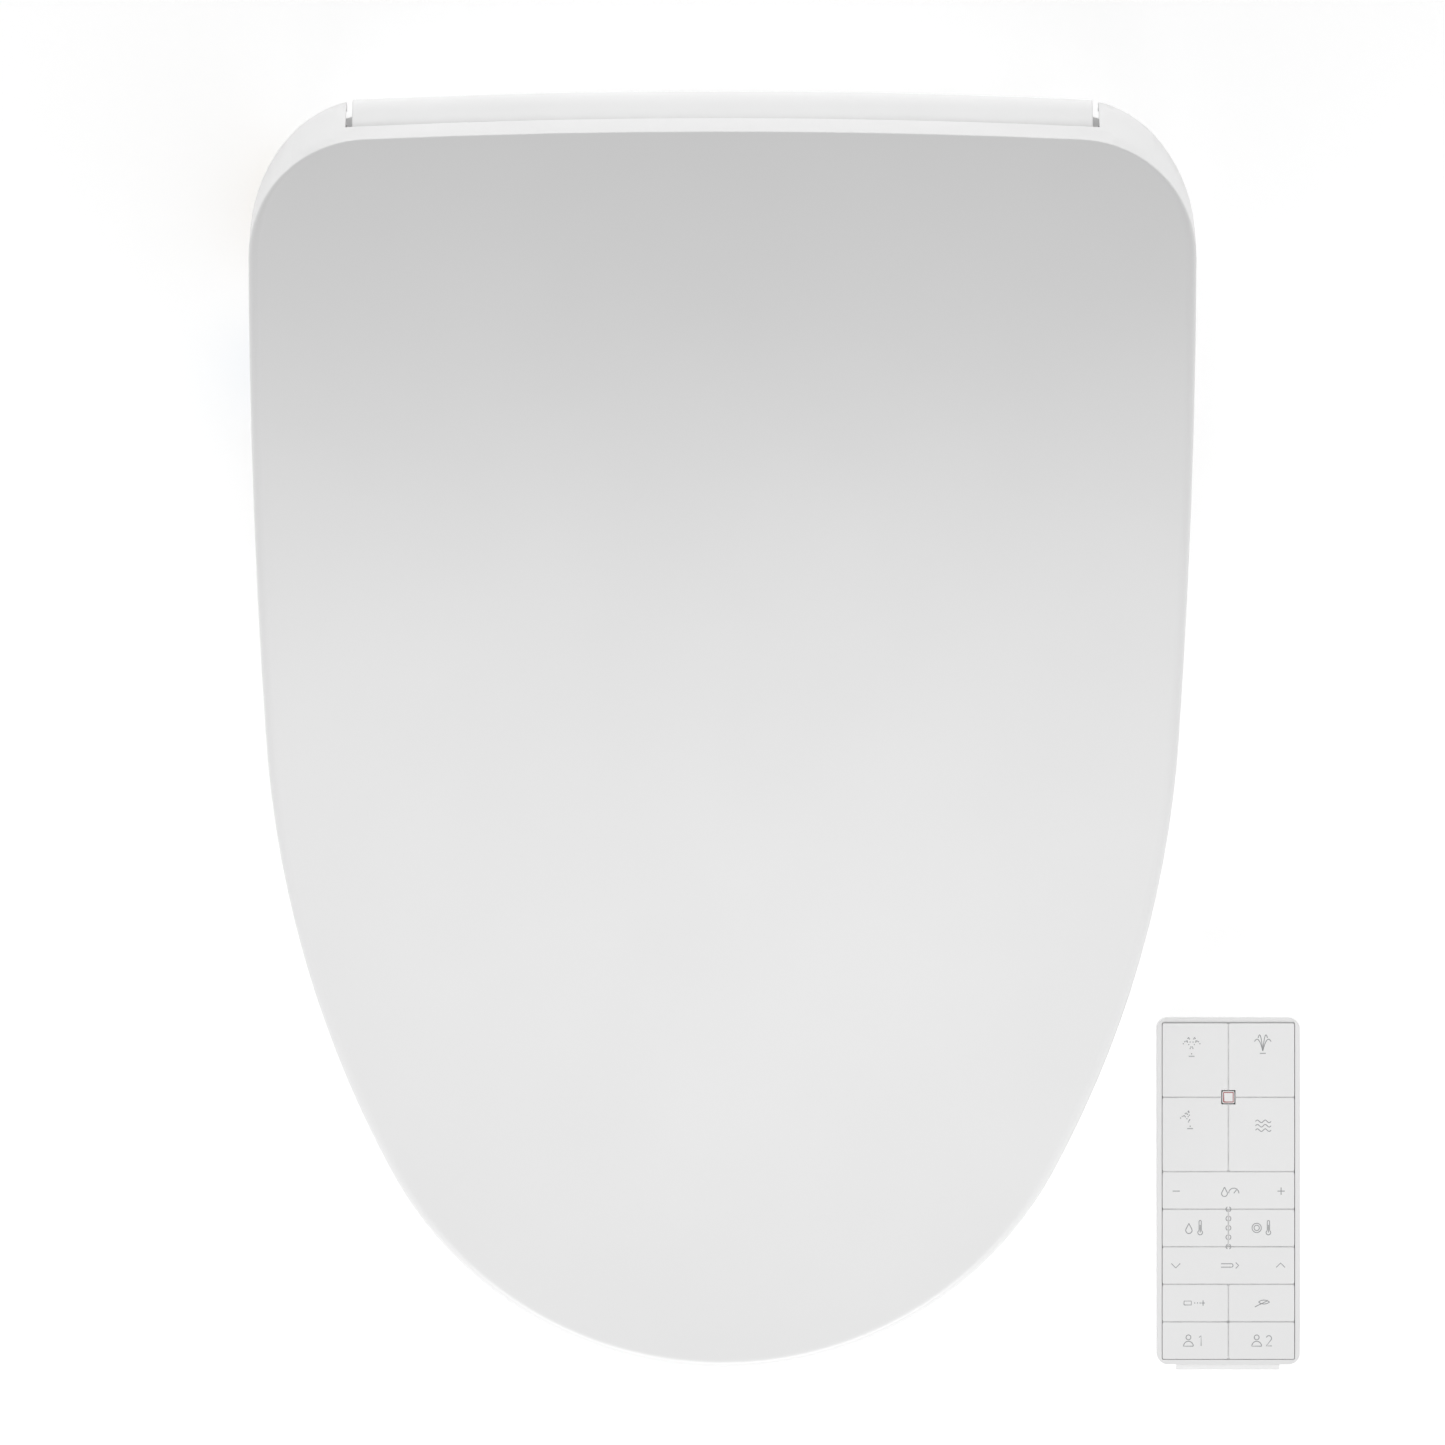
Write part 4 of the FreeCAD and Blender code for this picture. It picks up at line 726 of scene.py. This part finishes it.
# Each key's marks: the lines, and their middle as millimetres right of and below the remote's top middle.
KEY_MARKS = {
    "rear_wash_key": [(fountain([(-3.4, 5.2), (3.4, 5.2), (-1.8, 6.6), (1.8, 6.6)], True), -15.1, 12.6)],
    "turbo_wash_key": [(fountain([(-3.4, 4.8), (3.4, 4.8), (-1.9, 6.6), (1.9, 6.6)], False), 14.1, 11.4)],
    "front_wash_key": [(fountain([(-3.9, 4.2), (-2.4, 5.4), (-1.0, 6.2)], True), -15.7, 42.3)],
    "dry_key": [([wave(1.8), wave(0.0), wave(-1.8)], 14.3, 44.3)],
    "pressure_key": [(MINUS, -21.4, 71.1), (droplet(-1.6, -1.0, 1.2), 0.0, 71.1),
                     (GAUGE, 1.6, 71.1), (PLUS, 21.6, 71.1)],
    "water_temp_key": [(droplet(-2.2, -1.0, 1.3) + thermometer(2.4), -14.0, 86.2),
                       (level_beads(112, 248), 0.0, 86.2)],
    "seat_temp_key": [(seat_outline(-2.4, 0.0) + thermometer(2.4), 14.0, 86.2),
                      (level_beads(-68, 68), 0.0, 86.2)],
    "nozzle_position_key": [(CHEVRON_DOWN, -21.6, 101.7), (NOZZLE_MOVES, 0.0, 101.6),
                            (CHEVRON_UP, 21.4, 101.5)],
    "nozzle_cleaning_key": [(nozzle_spark(), -14.0, 117.0)],
    "eco_key": [(leaf(), 14.0, 117.0)],
    "user_one_key": [(person(1), -14.0, 132.4)],
    "user_two_key": [(person(2), 14.0, 132.4)],
    "stop_key": [(STOP_FRAME, 0.0, 32.6)],
}


def body_with(node):
    """The body that a node moves with."""
    return next(body for body, nodes in frame["record"]["behaviour"]["bodies"].items() if node in nodes)


def stroked(name, lines, width, thickness=0.06):
    """Flat printed strokes along lines in millimetres, as a mesh."""
    curve = bpy.data.curves.new(name, "CURVE")
    curve.dimensions = "3D"
    curve.bevel_depth = width / 2
    curve.bevel_resolution = 1
    curve.use_fill_caps = True
    for line in lines:
        spline = curve.splines.new("POLY")
        spline.points.add(len(line) - 1)
        for point, (x, y) in zip(spline.points, line):
            point.co = (x * MM, y * MM, 0.0, 1.0)
    drawn = bpy.data.objects.new(name + "_line", curve)
    bpy.context.scene.collection.objects.link(drawn)
    bpy.context.view_layer.update()
    data = bpy.data.meshes.new_from_object(drawn.evaluated_get(bpy.context.evaluated_depsgraph_get()))
    bpy.data.objects.remove(drawn)
    mesh = bmesh.new()
    mesh.from_mesh(data)
    bmesh.ops.scale(mesh, vec=(1, 1, thickness * MM / width), verts=mesh.verts)
    bmesh.ops.recalc_face_normals(mesh, faces=mesh.faces)
    for f in mesh.faces:
        f.smooth = False
    return mesh


class BIDET_OT_key_marks(bpy.types.Operator):
    """Print a pictogram on each of the remote's keys"""

    bl_idname = "bidet.key_marks"
    bl_label = "Key marks"

    def execute(self, context):
        marks = context.scene.bidet_marks
        middle = (REMOTE_LOW.x + REMOTE_HIGH.x) / 2
        for key, parts in KEY_MARKS.items():
            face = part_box(key)[1].z
            lines = []
            for shape, right, down in parts:
                lines += [[(x + right, y - down) for x, y in line] for line in shape]
            ink = "stop_ink" if key == "stop_key" else "ink"
            width = marks.stroke * (1.3 if key == "stop_key" else 1.0)
            mesh = stroked(key + "_mark", lines, width)
            bmesh.ops.translate(mesh, vec=(middle, REMOTE_HIGH.y, face), verts=mesh.verts)
            finished(key + "_mark", mesh, ink, body_with(key))
        return {"FINISHED"}


class BIDET_OT_key_mat(bpy.types.Operator):
    """Mould the silicone mat whose ribs fill the gaps between the keys"""

    bl_idname = "bidet.key_mat"
    bl_label = "Key mat"

    def execute(self, context):
        keys = {name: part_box(name) for name in KEY_MARKS}
        low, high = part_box("key_mat")
        face = keys["eco_key"][1].z - context.scene.bidet_marks.rib_depth
        half = context.scene.bidet_marks.rib / 2
        middle = (low.x + high.x) / 2
        left, right = keys["pressure_key"][0].x, keys["pressure_key"][1].x
        top, bottom = keys["rear_wash_key"][1].y, keys["user_one_key"][0].y
        stop_low, stop_high = keys["stop_key"]
        mesh = bmesh.new()
        bmesh.ops.create_cube(mesh, size=1.0)
        bmesh.ops.scale(mesh, vec=high - low, verts=mesh.verts)
        bmesh.ops.translate(mesh, vec=(low + high) / 2, verts=mesh.verts)
        upright = [e for e in mesh.edges if abs(e.verts[0].co.z - e.verts[1].co.z) > 1e-5]
        bmesh.ops.bevel(
            mesh, geom=upright, offset=0.002, offset_type="OFFSET", segments=5, profile=0.5,
            affect="EDGES", material=-1)
        above = [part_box(n)[0].y for n in (
            "rear_wash_key", "front_wash_key", "pressure_key", "water_temp_key", "nozzle_position_key",
            "nozzle_cleaning_key")]
        below = [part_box(n)[1].y for n in (
            "front_wash_key", "pressure_key", "water_temp_key", "nozzle_position_key", "nozzle_cleaning_key",
            "user_one_key")]
        lines = [(a + b) / 2 for a, b in zip(above, below)]
        bars = [(left, y - half, right, y + half) for y in lines[1:]]
        bars += [(left, lines[0] - half, stop_low.x - half, lines[0] + half),
                 (stop_high.x + half, lines[0] - half, right, lines[0] + half),
                 (middle - half, stop_high.y + half, middle + half, top),
                 (middle - half, lines[1] + half, middle + half, stop_low.y - half),
                 (middle - half, lines[3] + half, middle + half, lines[2] - half),
                 (middle - half, bottom, middle + half, lines[4] - half)]
        for x0, y0, x1, y1 in bars:
            made = bmesh.ops.create_cube(mesh, size=1.0)["verts"]
            bmesh.ops.scale(mesh, vec=(x1 - x0, y1 - y0, face - low.z), verts=made)
            middle_of_bar = ((x0 + x1) / 2, (y0 + y1) / 2, (face + low.z) / 2)
            bmesh.ops.translate(mesh, vec=middle_of_bar, verts=made)
        crisp(mesh, 34)
        finished("ribbed_key_mat", mesh, "key_mat_rubber", "remote", ["key_mat"])
        return {"FINISHED"}


class BIDET_OT_button_marks(bpy.types.Operator):
    """Print a droplet and a square on the two buttons on the unit's side"""

    bl_idname = "bidet.button_marks"
    bl_label = "Button marks"

    def execute(self, context):
        marks = context.scene.bidet_marks
        for node, lines in (("wash_button", droplet(0, -0.8, 1.9)), ("stop_button", SQUARE)):
            low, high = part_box(node)
            mesh = stroked(node + "_mark", lines, marks.stroke * 1.4)
            bmesh.ops.rotate(mesh, cent=(0, 0, 0), matrix=SIDEWAYS, verts=mesh.verts)
            centre = (low + high) / 2
            bmesh.ops.translate(mesh, vec=(high.x, centre.y, centre.z), verts=mesh.verts)
            finished(node + "_mark", mesh, "ink", body_with(node))
        return {"FINISHED"}


# ---------------------------------------------------------------- studio

def soft_panel(name, power, width, height, place, target):
    """A large soft light aimed at a point, unseen by the camera."""
    light = bpy.data.lights.new(name, "AREA")
    light.shape = "RECTANGLE"
    light.size = width
    light.size_y = height
    light.energy = power
    panel = bpy.data.objects.new(name, light)
    bpy.context.scene.collection.objects.link(panel)
    panel.location = place
    panel.rotation_euler = (Vector(target) - Vector(place)).to_track_quat("-Z", "Y").to_euler()
    panel.visible_camera = False
    return panel


class BIDET_OT_stage(bpy.types.Operator):
    """Lay the floor, light the room and set the camera straight above"""

    bl_idname = "bidet.stage"
    bl_label = "Stage"

    def execute(self, context):
        studio = context.scene.bidet_studio
        scene = context.scene
        scene.view_settings.view_transform = "Standard"

        world = bpy.data.worlds.new("white room")
        scene.world = world
        world.use_nodes = True
        tree = world.node_tree
        direction = tree.nodes.new("ShaderNodeTexCoord").outputs["Generated"]
        split = tree.nodes.new("ShaderNodeSeparateXYZ")
        tree.links.new(direction, split.inputs["Vector"])
        level = tree.nodes.new("ShaderNodeMapRange")
        level.inputs["From Min"].default_value = 0.0
        level.inputs["From Max"].default_value = 1.0
        level.inputs["To Min"].default_value = studio.horizon
        level.inputs["To Max"].default_value = studio.overhead
        tree.links.new(split.outputs["Z"], level.inputs["Value"])
        tree.links.new(level.outputs["Result"], tree.nodes["Background"].inputs["Strength"])
        tree.nodes["Background"].inputs["Color"].default_value = (1, 1, 1, 1)

        mesh = bmesh.new()
        bmesh.ops.create_circle(mesh, cap_ends=True, segments=96, radius=9.0)
        bmesh.ops.translate(mesh, vec=(0, 0, CAD_BOX[0].z - 0.0004), verts=mesh.verts)
        data = bpy.data.meshes.new("floor")
        mesh.to_mesh(data)
        mesh.free()
        floor = bpy.data.objects.new("floor", data)
        scene.collection.objects.link(floor)
        material, shader, where, add, link = new_finish("pale floor")
        paper = add("ShaderNodeTexNoise", [("Vector", where)], Scale=3.0, Detail=2.0)
        link(mixed(add, paper.outputs["Fac"], (0.88, 0.88, 0.88), (0.9, 0.9, 0.9)), "Base Color")
        shader.inputs["Roughness"].default_value = 0.9
        shader.inputs["Emission Color"].default_value = (1, 1, 1, 1)
        shader.inputs["Emission Strength"].default_value = studio.floor_glow
        data.materials.append(material)

        soft_panel("front light", studio.front_light, 1.6, 0.5, (0, -1.75, 0.62), (0, -0.3, 0.08))
        low_panel = soft_panel(
            "middle light", studio.middle_light, 0.9, 0.39, (0, -0.305, 0.27), (0, -0.305, 0.1))
        low_panel.visible_glossy = False
        soft_panel("rear light", studio.rear_light, 1.6, 0.45, (0, 1.5, 0.42), (0, 0.02, 0.12))

        camera = bpy.data.cameras.new("camera above")
        camera.lens = studio.lens
        camera.sensor_width = 36.0
        seen_from = bpy.data.objects.new("camera above", camera)
        scene.collection.objects.link(seen_from)
        distance = studio.view_width / camera.sensor_width * camera.lens
        seen_from.location = (0, studio.view_y, LID_HIGH.z * 0.75 + distance)
        camera.clip_end = 100.0
        scene.camera = seen_from
        return {"FINISHED"}


# ---------------------------------------------------------------- panel and registration

STEPS = (BIDET_OT_finishes, BIDET_OT_lid, BIDET_OT_seat, BIDET_OT_key_mat, BIDET_OT_key_marks,
         BIDET_OT_button_marks, BIDET_OT_stage)
GROUPS = {
    "bidet_lid": BIDET_PG_lid,
    "bidet_seat": BIDET_PG_seat,
    "bidet_marks": BIDET_PG_marks,
    "bidet_finish": BIDET_PG_finish,
    "bidet_studio": BIDET_PG_studio,
}


class BIDET_PT_sidebar(bpy.types.Panel):
    """Sizes, colours and steps of the bidet seat"""

    bl_idname = "BIDET_PT_sidebar"
    bl_label = "Bidet seat"
    bl_space_type = "VIEW_3D"
    bl_region_type = "UI"
    bl_category = "Bidet seat"

    def draw(self, context):
        for attribute, group in GROUPS.items():
            box = self.layout.box()
            for name in group.__annotations__:
                box.prop(getattr(context.scene, attribute), name)
        for step in STEPS:
            self.layout.operator(step.bl_idname)


def register():
    for group in GROUPS.values():
        bpy.utils.register_class(group)
    for step in STEPS:
        bpy.utils.register_class(step)
    bpy.utils.register_class(BIDET_PT_sidebar)
    for attribute, group in GROUPS.items():
        setattr(bpy.types.Scene, attribute, bpy.props.PointerProperty(type=group))


def unregister():
    for attribute in GROUPS:
        delattr(bpy.types.Scene, attribute)
    bpy.utils.unregister_class(BIDET_PT_sidebar)
    for step in reversed(STEPS):
        bpy.utils.unregister_class(step)
    for group in reversed(GROUPS.values()):
        bpy.utils.unregister_class(group)


def main():
    register()
    bpy.ops.bidet.finishes()
    bpy.ops.bidet.lid()
    bpy.ops.bidet.seat()
    bpy.ops.bidet.key_mat()
    bpy.ops.bidet.key_marks()
    bpy.ops.bidet.button_marks()
    bpy.ops.bidet.stage()


if __name__ == "__main__":
    main()
